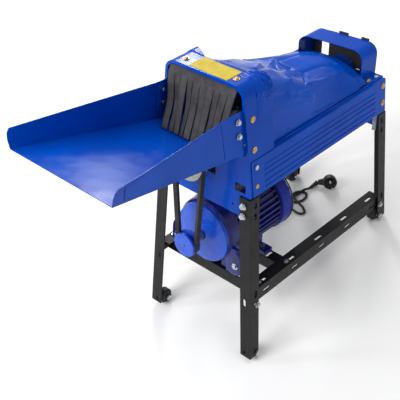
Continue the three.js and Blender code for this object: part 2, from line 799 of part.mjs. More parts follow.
function motorEndBell() {
  const bore = motorShaftR + 1.5;
  const outside = [[bore, 10], [74, 10], [79, 16], [80, 24], [80, 44.6]];
  const inside = [[66, 44.6], [66, 30], [34, 22], [bore, 22], [bore, 10]];
  const bell = turnedY([...outside, ...inside], motorX, motorZ, 36);
  const solid = join(bell, ...motorFeet(21, 49).map((g) => common(g, box(-200, 200, 21, 44.6, 100, 300))));
  return cut(solid, cylinderY(66, 29.9, 60, motorX, motorZ, 36), ...footHoles(35));
}

function motorBody() {
  // finned housing: outline with a rib every ten degrees, bored through
  const outline = [];
  const fins = 36;
  for (let i = 0; i < fins; i++) {
    const a = (i * 360) / fins;
    for (const [da, r] of [[-2.6, 72], [-1.4, 81], [1.4, 81], [2.6, 72]]) {
      const t = ((a + da) * Math.PI) / 180;
      outline.push([motorX + r * Math.cos(t), motorZ + r * Math.sin(t)]);
    }
  }
  const hull = extrudeY(outline, 45, 184);
  const solid = join(hull, ...motorFeet(120, 148));
  return cut(solid, cylinderY(64, 30, 200, motorX, motorZ, 36), ...footHoles(134));
}

function motorRearBell() {
  const p = [[9, 184.4], [76, 184.4], [76, 189.6], [40, 189.6], [34, 193], [9, 193], [9, 184.4]];
  return turnedY(p, motorX, motorZ, 48);
}

function fanCowl() {
  const outside = [[77, 190], [84, 192], [85, 198], [85, 222], [80, 227], [20, 227]];
  const inside = [[20, 225], [78.6, 225], [82.8, 221], [82.8, 199], [81.6, 194], [77, 192], [77, 190]];
  const g = turnedY([...outside, ...inside], motorX, motorZ, 24);
  const tools = [];
  for (let ring = 0; ring < 2; ring++) {
    const r = 38 + ring * 22;
    for (let i = 0; i < 8; i++) {
      const a = (i * Math.PI) / 4 + ring * 0.2;
      const t = box(-5.5, 5.5, 220, 232, -2.5, 2.5);
      t.rotateY(-(a + Math.PI / 2));
      t.translate(motorX + r * Math.cos(a), 0, motorZ + r * Math.sin(a));
      tools.push(t);
    }
  }
  return cut(g, ...tools);
}

function motorFan() {
  const hub = turnedY([[8.4, 198], [22, 198], [22, 216], [8.4, 216], [8.4, 198]], motorX, motorZ, 24);
  let solid = toSolid(hub);
  for (let i = 0; i < 6; i++) {
    const t = box(20, 72, 200, 215, -1.2, 1.2);
    t.rotateY(-(i * Math.PI) / 3);
    t.translate(motorX, 0, motorZ);
    solid = solid.add(toSolid(t));
  }
  return toGeometry(solid);
}

function motorStator() {
  // laminated core pressed in the housing, slotted on the inside
  const core = turnedY([[41, 56], [63.6, 56], [63.6, 172], [41, 172], [41, 56]], motorX, motorZ, 36);
  const tools = [];
  for (let i = 0; i < 12; i++) {
    const t = box(36, 56, 50, 180, -2.2, 2.2);
    t.rotateY(-(i * Math.PI) / 6);
    t.translate(motorX, 0, motorZ);
    tools.push(t);
  }
  return cut(core, ...tools);
}

function motorRotor() {
  const r = motorShaftR;
  const front = [[0, -59], [r - 1, -59], [r, -58], [r, 34]];
  return turnedY([...front, [40, 48], [40, 176], [8, 180], [8, 217], [0, 217]], motorX, motorZ, 32);
}

function terminalBox() {
  // dark housing over the motor that holds the capacitor and the terminals
  const low = motorZ + 81 + gap;
  return box(motorX - 62, motorX + 30, 62, 138, low, low + 22);
}

function footBolt(side, y) {
  const x = motorX + side * 70;
  const head = cylinderZ(6.5, barTopZ + 11.4, barTopZ + 17, x, y, 6);
  const shank = cylinderZ(3.8, barTopZ - 10, barTopZ + 12, x, y, 10);
  const nut = cylinderZ(6.5, barTopZ - 9.4, barTopZ - legThick - gap, x, y, 6);
  return join(head, shank, nut);
}

// ---- supply cord, in the standing frame: it hangs from the gland to the floor and lies on it
function standing(x, y, z) {
  return [x, y * cosT + z * sinT - centreY, z * cosT - y * sinT + liftZ];
}

function cordPath() {
  const hang = [[-50, 158.6, 364], [-50, 196, 366], [-51, 236, 356]];
  const drop = [[-56, 262, 318], [-66, 272, 240], [-78, 270, 150]];
  const floor = [[-92, 106, 22], [-98, 134, 4.6], [-96, 176, cordR + 0.2], [-92, 224, cordR + 0.2]];
  const lead = [[-82, 270, cordR + 0.2], [-71, 300, cordR + 0.8], [-67.4, 313, 5]];
  return [...hang, ...drop].map((p) => standing(...p)).concat(floor, lead);
}

function tube(points, radius, sides, steps) {
  const knots = points.map(([x, y, z]) => new THREE.Vector3(x, y, z));
  const curve = new THREE.CatmullRomCurve3(knots, false, "centripetal");
  const shape = new THREE.Shape();
  for (let i = 0; i < sides; i++) {
    const a = (i * 2 * Math.PI) / sides;
    if (i === 0) shape.moveTo(radius, 0);
    else shape.lineTo(radius * Math.cos(a), radius * Math.sin(a));
  }
  shape.closePath();
  return new THREE.ExtrudeGeometry(shape, { steps, bevelEnabled: false, extrudePath: curve });
}

function cableGland() {
  const z = 364;
  const x = -50;
  const y = 138 + gap;
  const bore = cordR + gap;
  const outside = [[bore, y], [10, y], [10, y + 5], [8, y + 8], [8, y + 16]];
  return turnedY([...outside, [bore + 1.4, y + 20], [bore, y + 20], [bore, y]], x, z, 20);
}

function along(g, from, to) {
  // turns a body made along +Y from the origin so that it starts at from and points at to
  const dir = new THREE.Vector3(...to).sub(new THREE.Vector3(...from)).normalize();
  g.applyQuaternion(new THREE.Quaternion().setFromUnitVectors(new THREE.Vector3(0, 1, 0), dir));
  g.translate(...from);
  return g;
}

const sleeveStart = [-67.1, 314, 5.4];
const sleeveEnd = [-59, 339, 11];
const plugCentre = [-27, 352, 21.4];
const pinAxis = [0.7, -0.65, 0.28];

function plugSleeve() {
  return along(turnedY([[0, 0], [4.4, 0], [7, 26], [0, 26]], 0, 0, 16), sleeveStart, sleeveEnd);
}

function powerPlug() {
  // round two-pin plug with the grip leaving sideways towards the cord
  const body = turnedY([[0, -14], [12, -14], [17, -9], [18.4, -4], [18.4, 13], [0, 13]], 0, 0, 28);
  const pins = [-1, 1].map((s) => cylinderY(2.4, 10, 31, s * 9.5, 0, 10));
  const whole = along(join(body, ...pins), plugCentre, plugCentre.map((v, i) => v + pinAxis[i]));
  const reach = Math.hypot(...plugCentre.map((v, i) => v - sleeveEnd[i]));
  const gripLine = turnedY([[0, 5], [8, 5], [12, reach - 12], [0, reach - 12]], 0, 0, 16);
  return join(whole, along(gripLine, sleeveEnd, plugCentre));
}

// ---- placing and naming
function place(g) {
  g.rotateX(-tilt);
  g.translate(0, -centreY, liftZ);
  return g;
}

const group = new THREE.Group();
group.name = "maize_sheller";

const paints = {
  blue: [0x1450b4, 0.1, 0.35],
  navy: [0x1a237e, 0.1, 0.45],
  black: [0x2b2b2d, 0.1, 0.5],
  rubber: [0x2a2a2a, 0, 0.85],
  zinc: [0xc2c6ca, 0.9, 0.35],
  steel: [0x9a9c98, 0.9, 0.4],
  yellow: [0xe8d21e, 0, 0.5],
  plastic: [0x1c1c1e, 0, 0.5],
};

function add(name, geometry, paint, placed = true) {
  const g = placed ? place(geometry) : geometry;
  const [color, metalness, roughness] = paints[paint];
  const material = new THREE.MeshStandardMaterial({ color, metalness, roughness });
  material.name = paint;
  const mesh = new THREE.Mesh(g, material);
  mesh.name = name;
  group.add(mesh);
}

const sides = [["right", 1], ["left", -1]];

for (const [word, s] of sides) {
  add(`leg_front_${word}`, frontLeg(s), "black");
  add(`leg_rear_${word}`, rearLeg(s), "black");
  add(`rail_${word}`, rail(s), "black");
  add(`side_panel_${word}`, sidePanel(s), "blue");
  add(`leg_bolts_front_${word}`, legBolts(s, false), "zinc");
  add(`leg_bolts_rear_${word}`, legBolts(s, true), "zinc");
  add(`wheel_front_${word}`, wheel(...wheelCentre(s, false)), "rubber");
  add(`wheel_rear_${word}`, wheel(...wheelCentre(s, true)), "rubber");
  add(`axle_front_${word}`, wheelAxle(s, false), "zinc");
  add(`axle_rear_${word}`, wheelAxle(s, true), "zinc");
  add(`tray_bolt_upper_${word}`, trayBolt(s, 614), "zinc");
  add(`tray_bolt_lower_${word}`, trayBolt(s, 583), "zinc");
  add(`motor_foot_bolt_front_${word}`, footBolt(s, 35), "zinc");
  add(`motor_foot_bolt_rear_${word}`, footBolt(s, 134), "zinc");
}

add("motor_crossbar_front", crossbar(20), "black");
add("motor_crossbar_rear", crossbar(119), "black");
add("front_arch", frontArch(), "blue");
add("rear_plate", rearPlate(), "blue");
add("top_cover", topCover(), "blue");
add("discharge_hood", dischargeHood(), "blue");
add("outlet_flap_left", outletFlap(-91, -66, 524, []), "rubber");
add("outlet_flap_right", outletFlap(-44, 91, 524, [[-18, 8], [45, 66]]), "rubber");
add("feed_tray", feedTray(), "blue");
add("rubber_curtain", rubberCurtain(), "rubber");
add("top_label", topLabel(), "yellow");
add("concave_screen", concave(), "steel");
add("drum_rotor", drumRotor(), "steel");
add("drum_shaft", drumShaft(), "steel");
add("bearing_front", bearing(sheet + gap, sheet + 8, 4), "navy");
add("bearing_rear", bearing(bodyLength + gap, bodyLength + 7, 6), "navy");
add("drum_pulley", drumPulley(), "steel");
add("motor_pulley", motorPulley(), "blue");
add("drive_belt", driveBelt(), "rubber");
add("motor_front_cover", motorFrontCover(), "blue");
add("motor_end_bell", motorEndBell(), "navy");
add("motor_body", motorBody(), "navy");
add("motor_rear_bell", motorRearBell(), "black");
add("motor_fan_cowl", fanCowl(), "navy");
add("motor_fan", motorFan(), "plastic");
add("motor_stator", motorStator(), "steel");
add("motor_rotor", motorRotor(), "steel");
add("terminal_box", terminalBox(), "plastic");
add("cable_gland", cableGland(), "plastic");
add("power_cord", tube(cordPath(), cordR, 8, 44), "rubber", false);
add("plug_sleeve", plugSleeve(), "rubber", false);
add("power_plug", powerPlug(), "plastic", false);

export default group;
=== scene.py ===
import json
import math
import bmesh
import bpy
import numpy as np
from mathutils import Matrix, Vector


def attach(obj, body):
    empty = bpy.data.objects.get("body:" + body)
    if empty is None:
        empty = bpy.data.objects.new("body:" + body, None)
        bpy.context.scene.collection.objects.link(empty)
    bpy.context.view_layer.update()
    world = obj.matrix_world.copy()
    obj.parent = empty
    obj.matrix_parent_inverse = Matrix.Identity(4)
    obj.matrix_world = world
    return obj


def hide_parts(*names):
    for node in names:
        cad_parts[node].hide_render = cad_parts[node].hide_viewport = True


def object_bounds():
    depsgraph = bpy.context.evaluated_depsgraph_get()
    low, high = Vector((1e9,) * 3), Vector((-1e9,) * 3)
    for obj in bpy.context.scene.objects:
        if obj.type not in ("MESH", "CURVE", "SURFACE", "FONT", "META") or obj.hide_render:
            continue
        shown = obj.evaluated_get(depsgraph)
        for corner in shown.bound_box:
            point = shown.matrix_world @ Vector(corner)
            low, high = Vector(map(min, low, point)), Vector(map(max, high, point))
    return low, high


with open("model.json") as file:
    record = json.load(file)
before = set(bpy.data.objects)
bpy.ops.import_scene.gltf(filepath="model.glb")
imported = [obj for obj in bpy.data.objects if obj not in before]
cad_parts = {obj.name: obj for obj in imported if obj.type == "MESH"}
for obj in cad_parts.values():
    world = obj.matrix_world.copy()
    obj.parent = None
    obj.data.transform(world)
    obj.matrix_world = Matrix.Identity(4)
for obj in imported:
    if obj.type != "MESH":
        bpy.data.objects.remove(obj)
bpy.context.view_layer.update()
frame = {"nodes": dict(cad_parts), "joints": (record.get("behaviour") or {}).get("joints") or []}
nodes = frame["nodes"]

# The machine's own frame: X across, Y from the feed tray to the cob outlet, Z square to the body.
# The drum's joint gives where it stands and how far it is tipped back. Machine sizes are in mm.
drumSpin = [j for j in frame["joints"] if j["name"] == "drum_spin"][0]
alongBody = np.array(drumSpin["axis"], float)
alongBody /= np.linalg.norm(alongBody)
acrossBody = np.array([1.0, 0.0, 0.0])
upBody = np.cross(acrossBody, alongBody)
drumCentre = {"y": 250, "z": 496}
drumOffset = (drumCentre["y"] * alongBody + drumCentre["z"] * upBody) / 1000
bodyOrigin = np.array(drumSpin["pos_m"], float) - drumOffset


def placed(points):
    # machine mm -> metres on the floor: origin + x across + y along + z up
    p = np.asarray(points, float) / 1000
    return bodyOrigin + p[..., 0:1] * acrossBody + p[..., 1:2] * alongBody + p[..., 2:3] * upBody


view = {"place": (1085.6, -1182.4, 1508.6), "yaw": 42.9, "pitch": 35.4, "roll": -0.6, "lens": 80.65}


def makeCamera():
    # looks along (-sin yaw cos pitch, cos yaw cos pitch, -sin pitch) of the machine's frame, rolled a little
    yaw, pitch, roll = (math.radians(view[k]) for k in ("yaw", "pitch", "roll"))
    level = np.array([-math.sin(yaw), math.cos(yaw), 0])
    look = level * math.cos(pitch) - np.array([0, 0, math.sin(pitch)])
    right = np.cross(look, [0, 0, 1])
    right /= np.linalg.norm(right)
    up = np.cross(right, look)
    rolledRight = right * math.cos(roll) + up * math.sin(roll)
    rolledUp = -right * math.sin(roll) + up * math.cos(roll)
    turn = np.stack([acrossBody, alongBody, upBody], 1)
    data = bpy.data.cameras.new("mainCamera")
    data.lens = view["lens"]
    data.sensor_width = 36
    camera = bpy.data.objects.new("mainCamera", data)
    bpy.context.scene.collection.objects.link(camera)
    columns = turn @ np.stack([rolledRight, rolledUp, -look], 1)
    matrix = np.eye(4)
    matrix[:3, :3] = columns
    matrix[:3, 3] = placed(view["place"])
    camera.matrix_world = Matrix(matrix.tolist())
    bpy.context.scene.camera = camera


makeCamera()
print("camera set")


def toLinear(hexColour):
    # sRGB hex to linear: c/12.92 below 0.04045, else ((c + 0.055)/1.055)^2.4
    c = np.array([int(hexColour[i:i + 2], 16) for i in (0, 2, 4)]) / 255
    linear = np.where(c <= 0.04045, c / 12.92, ((c + 0.055) / 1.055) ** 2.4)
    return (*linear.tolist(), 1.0)


def addNode(tree, kind, inputs=None, **settings):
    node = tree.nodes.new(kind)
    for key, value in settings.items():
        setattr(node, key, value)
    for key, value in (inputs or {}).items():
        if isinstance(value, bpy.types.NodeSocket):
            tree.links.new(value, node.inputs[key])
        else:
            node.inputs[key].default_value = value
    return node


def newMaterial(name, look):
    # a Principled surface with the finish's own fixed values
    material = bpy.data.materials.new(name)
    material.use_nodes = True
    tree = material.node_tree
    tree.nodes.clear()
    shader = addNode(tree, "ShaderNodeBsdfPrincipled", look)
    addNode(tree, "ShaderNodeOutputMaterial", {"Surface": shader.outputs[0]})
    coords = addNode(tree, "ShaderNodeTexCoord")
    return material, tree, shader, coords.outputs["Object"]


def noise(tree, where, size, detail=2.0, rough=0.5):
    # noise with one blob per size millimetres
    settings = {"Vector": where, "Scale": 1000 / size, "Detail": detail, "Roughness": rough}
    return addNode(tree, "ShaderNodeTexNoise", settings).outputs["Fac"]


def twoTone(tree, fac, low, high, start=0.35, end=0.65):
    # colour that runs from low to high as fac goes from start to end
    ramp = addNode(tree, "ShaderNodeValToRGB", {"Fac": fac})
    ramp.color_ramp.elements[0].position = start
    ramp.color_ramp.elements[1].position = end
    ramp.color_ramp.elements[0].color = toLinear(low)
    ramp.color_ramp.elements[1].color = toLinear(high)
    return ramp.outputs["Color"]


def spread(tree, fac, low, high, start=0.3, end=0.7):
    # plain number that runs from low to high
    settings = {"Value": fac, "From Min": start, "From Max": end, "To Min": low, "To Max": high}
    return addNode(tree, "ShaderNodeMapRange", settings).outputs["Result"]


def relief(tree, layers, edge=0.0):
    # stacked bumps, each (height, depth in mm), over an optionally rounded edge of edge mm
    normal = None
    if edge:
        normal = addNode(tree, "ShaderNodeBevel", {"Radius": edge / 1000}, samples=6).outputs["Normal"]
    for height, depth in layers:
        inputs = {"Height": height, "Strength": 1.0, "Distance": depth / 1000}
        if normal is not None:
            inputs["Normal"] = normal
        normal = addNode(tree, "ShaderNodeBump", inputs).outputs["Normal"]
    return normal


# colours in sRGB: the main tone of each finish, then the deeper tone that it runs to in patches
finish = {
    "sheetBlue": "004CBC", "sheetBlueDeep": "0040AA", "motorNavy": "121C80", "motorNavyDeep": "0C1258",
    "cowlNavy": "2C3DA6", "cowlNavyDeep": "22308E", "discBlue": "1450CC", "discBlueDeep": "1246B4",
    "enamelBlack": "121213", "enamelBlackDeep": "0B0B0C", "sheetRubber": "333236", "sheetRubberDeep": "232224",
    "wheelRubber": "262627", "wheelRubberDeep": "1C1C1D", "beltCloth": "2E2D2C", "beltClothDeep": "222221",
    "cordJacket": "1D1D1E", "cordJacketDeep": "151516", "plastic": "1E1E20", "plasticDeep": "151516",
    "zinc": "C9CCD0", "zincDull": "A6A9AD", "yellowZinc": "E2BE84", "yellowZincDull": "B8945C",
    "rolledSteel": "8F918E", "rolledSteelDull": "6F716E", "groundSteel": "B4B6B6", "groundSteelDull": "989A9A",
    "iron": "A9A89C", "ironDull": "8E8C80", "vinylYellow": "C9B322", "vinylYellowDeep": "BDA61C",
}


def powderCoat(name, colour, deep, roughness=0.2, wave=0.35, crumple=False):
    # gloss powder coat on pressed sheet: slow waves from the press and a fine orange peel bend the reflections
    look = {"IOR": 1.45, "Specular IOR Level": 0.12}
    material, tree, shader, where = newMaterial(name, look)
    wide = noise(tree, where, 85, 1.0)
    tone = twoTone(tree, noise(tree, where, 160, 3.0), deep, colour)
    tree.links.new(tone, shader.inputs["Base Color"])
    sheen = spread(tree, noise(tree, where, 30, 4.0), roughness - 0.05, roughness + 0.08)
    tree.links.new(sheen, shader.inputs["Roughness"])
    layers = [(wide, wave), (noise(tree, where, 22, 2.0), wave * 0.14), (noise(tree, where, 1.6, 2.0), 0.012)]
    if crumple:
        # wrinkled band at the arch's near rear corner: sharp ridged noise inside a soft ball
        centre = placed(crumple["centre"])
        away = addNode(tree, "ShaderNodeVectorMath", {0: where, 1: tuple(centre)}, operation="DISTANCE")
        inside = spread(tree, away.outputs["Value"], 1.0, 0.0, crumple["core"] / 1000, crumple["reach"] / 1000)
        cells = {"Vector": where, "Scale": 1000 / crumple["size"]}
        ridges = addNode(tree, "ShaderNodeTexVoronoi", cells, feature="SMOOTH_F1")
        dent = addNode(tree, "ShaderNodeMath", {0: inside, 1: ridges.outputs["Distance"]}, operation="MULTIPLY")
        layers.append((dent.outputs[0], crumple["depth"]))
    tree.links.new(relief(tree, layers, 0.9), shader.inputs["Normal"])
    return material


def blackEnamel():
    # stoved enamel on rolled angle: semi-gloss with a faint grain and dusty patches
    material, tree, shader, where = newMaterial("stovedBlackEnamel", {"IOR": 1.5, "Specular IOR Level": 0.22})
    tone = twoTone(tree, noise(tree, where, 45, 4.0), finish["enamelBlackDeep"], finish["enamelBlack"])
    tree.links.new(tone, shader.inputs["Base Color"])
    tree.links.new(spread(tree, noise(tree, where, 12, 4.0), 0.34, 0.5), shader.inputs["Roughness"])
    layers = [(noise(tree, where, 60, 1.0), 0.08), (noise(tree, where, 1.1, 2.0), 0.02)]
    tree.links.new(relief(tree, layers, 0.7), shader.inputs["Normal"])
    return material


def paintedCasting(name, colour, deep, grit, roughness):
    # brush-painted sand casting: pitted skin with pooled, glossy paint
    material, tree, shader, where = newMaterial(name, {"IOR": 1.48, "Specular IOR Level": 0.45})
    tone = twoTone(tree, noise(tree, where, 18, 5.0), deep, colour)
    tree.links.new(tone, shader.inputs["Base Color"])
    sheen = spread(tree, noise(tree, where, 7, 3.0), roughness - 0.08, roughness + 0.14)
    tree.links.new(sheen, shader.inputs["Roughness"])
    cells = {"Vector": where, "Scale": 1000 / 5}  # pits about 5 mm apart
    pits = addNode(tree, "ShaderNodeTexVoronoi", cells, feature="SMOOTH_F1").outputs["Distance"]
    fine = noise(tree, where, 1.8, 2.0)
    layers = [(noise(tree, where, 14, 3.0), grit), (pits, grit * 0.35), (fine, grit * 0.06)]
    tree.links.new(relief(tree, layers, 1.2), shader.inputs["Normal"])
    return material


def platedSteel(name, colour, dull, roughness, metal=1.0):
    # plated fastener: bright metal with duller, slightly stained patches
    material, tree, shader, where = newMaterial(name, {"Metallic": metal})
    tree.links.new(twoTone(tree, noise(tree, where, 6, 4.0), dull, colour), shader.inputs["Base Color"])
    sheen = spread(tree, noise(tree, where, 3, 4.0), roughness - 0.06, roughness + 0.12)
    tree.links.new(sheen, shader.inputs["Roughness"])
    tree.links.new(relief(tree, [(noise(tree, where, 0.8, 2.0), 0.015)], 0.4), shader.inputs["Normal"])
    return material


def rubber(name, colour, deep, roughness, grain):
    # moulded or calendered rubber: matt, with a fine grain and pale bloom on the high spots
    material, tree, shader, where = newMaterial(name, {"IOR": 1.52, "Specular IOR Level": 0.35})
    tree.links.new(twoTone(tree, noise(tree, where, 25, 4.0), deep, colour), shader.inputs["Base Color"])
    sheen = spread(tree, noise(tree, where, 9, 3.0), roughness - 0.08, roughness + 0.08)
    tree.links.new(sheen, shader.inputs["Roughness"])
    layers = [(noise(tree, where, 14, 2.0), grain * 4), (noise(tree, where, 1.2, 2.0), grain)]
    tree.links.new(relief(tree, layers, 0.5), shader.inputs["Normal"])
    return material


def yellowVinyl():
    # printed film on sheet: an even satin yellow, a little wavy where it was laid
    material, tree, shader, where = newMaterial("yellowVinylSticker", {"IOR": 1.46, "Specular IOR Level": 0.2})
    tone = twoTone(tree, noise(tree, where, 20, 3.0), finish["vinylYellowDeep"], finish["vinylYellow"])
    tree.links.new(tone, shader.inputs["Base Color"])
    tree.links.new(spread(tree, noise(tree, where, 8), 0.45, 0.6), shader.inputs["Roughness"])
    tree.links.new(relief(tree, [(noise(tree, where, 26, 1.0), 0.25)], 0.2), shader.inputs["Normal"])
    return material


# where the arch's sheet is crushed, and how far, in mm
crumpled = {"centre": (103, 72, 664), "core": 8, "reach": 30, "size": 13, "depth": 3.2}
coat = powderCoat("blueGlossPowderCoat", finish["sheetBlue"], finish["sheetBlueDeep"], 0.17)
archCoat = powderCoat("blueCoatOnArch", finish["sheetBlue"], finish["sheetBlueDeep"], crumple=crumpled)
coverCoat = powderCoat("blueCoatOnCover", finish["sheetBlue"], finish["sheetBlueDeep"], wave=0.6)
enamel = blackEnamel()
casting = paintedCasting("navyPaintedCasting", finish["motorNavy"], finish["motorNavyDeep"], 0.9, 0.3)
cowlPaint = powderCoat("navyPaintOnCowl", finish["cowlNavy"], finish["cowlNavyDeep"], 0.3, 0.2)
discPaint = paintedCasting("blueEnamelOnMachinedIron", finish["discBlue"], finish["discBlueDeep"], 0.12, 0.24)
zinc = platedSteel("brightZincPlate", finish["zinc"], finish["zincDull"], 0.26)
yellowZinc = platedSteel("yellowZincPlate", finish["yellowZinc"], finish["yellowZincDull"], 0.3)
bareSteel = platedSteel("bareRolledSteel", finish["rolledSteel"], finish["rolledSteelDull"], 0.42)
groundSteel = platedSteel("groundShaftSteel", finish["groundSteel"], finish["groundSteelDull"], 0.28)
greyIron = platedSteel("greyMachinedIron", finish["iron"], finish["ironDull"], 0.48, 0.35)
sheetRubber = rubber("calenderedRubberSheet", finish["sheetRubber"], finish["sheetRubberDeep"], 0.62, 0.03)
wheelRubber = rubber("mouldedWheelRubber", finish["wheelRubber"], finish["wheelRubberDeep"], 0.6, 0.04)
beltRubber = rubber("wrappedBeltCloth", finish["beltCloth"], finish["beltClothDeep"], 0.7, 0.06)
cordRubber = rubber("cordJacketRubber", finish["cordJacket"], finish["cordJacketDeep"], 0.42, 0.01)
plastic = rubber("mouldedBlackPlastic", finish["plastic"], finish["plasticDeep"], 0.4, 0.012)
vinyl = yellowVinyl()

nodeFinish = {
    "leg_": enamel, "rail_": enamel, "motor_crossbar": enamel, "motor_rear_bell": enamel,
    "side_panel": coat, "front_arch": archCoat, "rear_plate": coat, "discharge_hood": coat, "feed_tray": coat,
    "leg_bolts": zinc, "axle_": zinc, "tray_bolt": zinc, "motor_foot_bolt": zinc,
    "wheel_": wheelRubber, "outlet_flap": sheetRubber, "top_label": vinyl, "concave_screen": bareSteel,
    "drum_rotor": bareSteel, "drum_shaft": groundSteel, "bearing_": casting, "drum_pulley": greyIron,
    "motor_pulley": discPaint, "drive_belt": beltRubber, "motor_front_cover": discPaint,
    "motor_end_bell": casting, "motor_body": casting, "motor_fan_cowl": cowlPaint, "motor_fan": plastic, "motor_stator": bareSteel,
    "motor_rotor": groundSteel, "terminal_box": plastic, "cable_gland": plastic,
}


def paintNodes():
    # the longest matching name start wins, so leg_bolts beats leg_
    for name, node in nodes.items():
        starts = sorted((s for s in nodeFinish if name.startswith(s)), key=len)
        if starts:
            node.data.materials.clear()
            node.data.materials.append(nodeFinish[starts[-1]])


paintNodes()


shading = {"merge": 0.01, "crispAngle": 32}  # mm, degrees


def makeShadeTree():
    # joins loose triangles, then shades round surfaces smoothly and keeps the steeper edges crisp
    tree = bpy.data.node_groups.new("smoothRoundShapes", "GeometryNodeTree")
    tree.interface.new_socket("Geometry", in_out="INPUT", socket_type="NodeSocketGeometry")
    tree.interface.new_socket("Geometry", in_out="OUTPUT", socket_type="NodeSocketGeometry")
    start = addNode(tree, "NodeGroupInput")
    weld = {"Geometry": start.outputs[0], "Distance": shading["merge"] / 1000}
    merged = addNode(tree, "GeometryNodeMergeByDistance", weld)
    soft = {"Geometry": merged.outputs[0], "Shade Smooth": True}
    faces = addNode(tree, "GeometryNodeSetShadeSmooth", soft, domain="FACE")
    angle = addNode(tree, "GeometryNodeInputMeshEdgeAngle")
    limit = {"A": angle.outputs["Unsigned Angle"], "B": math.radians(shading["crispAngle"])}
    steep = addNode(tree, "FunctionNodeCompare", limit, data_type="FLOAT", operation="GREATER_THAN")
    crisp = {"Geometry": faces.outputs[0], "Selection": steep.outputs[0], "Shade Smooth": False}
    edges = addNode(tree, "GeometryNodeSetShadeSmooth", crisp, domain="EDGE")
    addNode(tree, "NodeGroupOutput", {0: edges.outputs[0]})
    return tree


def smoothNodes():
    tree = makeShadeTree()
    for node in nodes.values():
        node.modifiers.new("smoothShading", "NODES").node_group = tree


smoothNodes()
print("finishes made")


def newPiece(name, points, faces, material, smooth=True):
    mesh = bpy.data.meshes.new(name)
    mesh.from_pydata(np.asarray(points).tolist(), [], np.asarray(faces).tolist())
    mesh.materials.append(material)
    mesh.polygons.foreach_set("use_smooth", np.full(len(mesh.polygons), smooth))
    mesh.update()
    piece = bpy.data.objects.new(name, mesh)
    bpy.context.scene.collection.objects.link(piece)
    return piece


def gridFaces(rows, columns, aroundRows=False, aroundColumns=False, start=0):
    # quads between neighbouring grid points, wrapping where the surface closes on itself
    r = np.arange(rows if aroundRows else rows - 1)[:, None]
    c = np.arange(columns if aroundColumns else columns - 1)[None, :]
    nextR, nextC = (r + 1) % rows, (c + 1) % columns
    quads = [r * columns + c, r * columns + nextC, nextR * columns + nextC, nextR * columns + c]
    return np.stack([np.broadcast_to(q, (len(r), c.shape[1])) for q in quads], -1).reshape(-1, 4) + start


def turned(profile, origin, axis, sides=24):
    # surface of revolution: point = origin + along*axis + radius*(cos a * u + sin a * v), ends on the axis
    axis = np.asarray(axis, float) / np.linalg.norm(axis)
    u = np.cross(axis, [0.0, 0.0, 1.0] if abs(axis[2]) < 0.9 else [1.0, 0.0, 0.0])
    u /= np.linalg.norm(u)
    v = np.cross(axis, u)
    a = np.linspace(0, 2 * math.pi, sides, endpoint=False)
    ring = np.cos(a)[:, None] * u + np.sin(a)[:, None] * v
    radius, along = np.asarray(profile, float).T
    points = np.asarray(origin, float) + along[:, None, None] * axis + radius[:, None, None] * ring[None]
    return points.reshape(-1, 3), gridFaces(len(radius), sides, aroundColumns=True)


def joined(parts):
    # several (points, faces) as one
    points, faces, start = [], [], 0
    for p, f in parts:
        points.append(np.asarray(p).reshape(-1, 3))
        faces += (np.asarray(f) + start).tolist()
        start += len(points[-1])
    return np.concatenate(points), faces


def cleaned(piece, distance=0.00002):
    # doubles merged and normals turned outwards, as poles and mirrored shapes need
    work = bmesh.new()
    work.from_mesh(piece.data)
    bmesh.ops.remove_doubles(work, verts=work.verts, dist=distance)
    bmesh.ops.dissolve_degenerate(work, edges=work.edges, dist=distance / 4)
    bmesh.ops.recalc_face_normals(work, faces=work.faces)
    work.to_mesh(piece.data)
    work.free()
    return piece


def smoothed(values, axis, width):
    # moving average with a raised-cosine window of width samples, ends held
    window = np.hanning(width + 2)[1:-1]
    window /= window.sum()
    pad = [(width // 2, width // 2) if k == axis else (0, 0) for k in range(values.ndim)]
    padded = np.pad(values, pad, mode="reflect", reflect_type="odd")
    return np.apply_along_axis(lambda line: np.convolve(line, window, mode="valid"), axis, padded)


def walled(piece, thickness, offset=-1.0):
    wall = piece.modifiers.new("wall", "SOLIDIFY")
    wall.thickness = thickness / 1000
    wall.offset = offset
    return piece


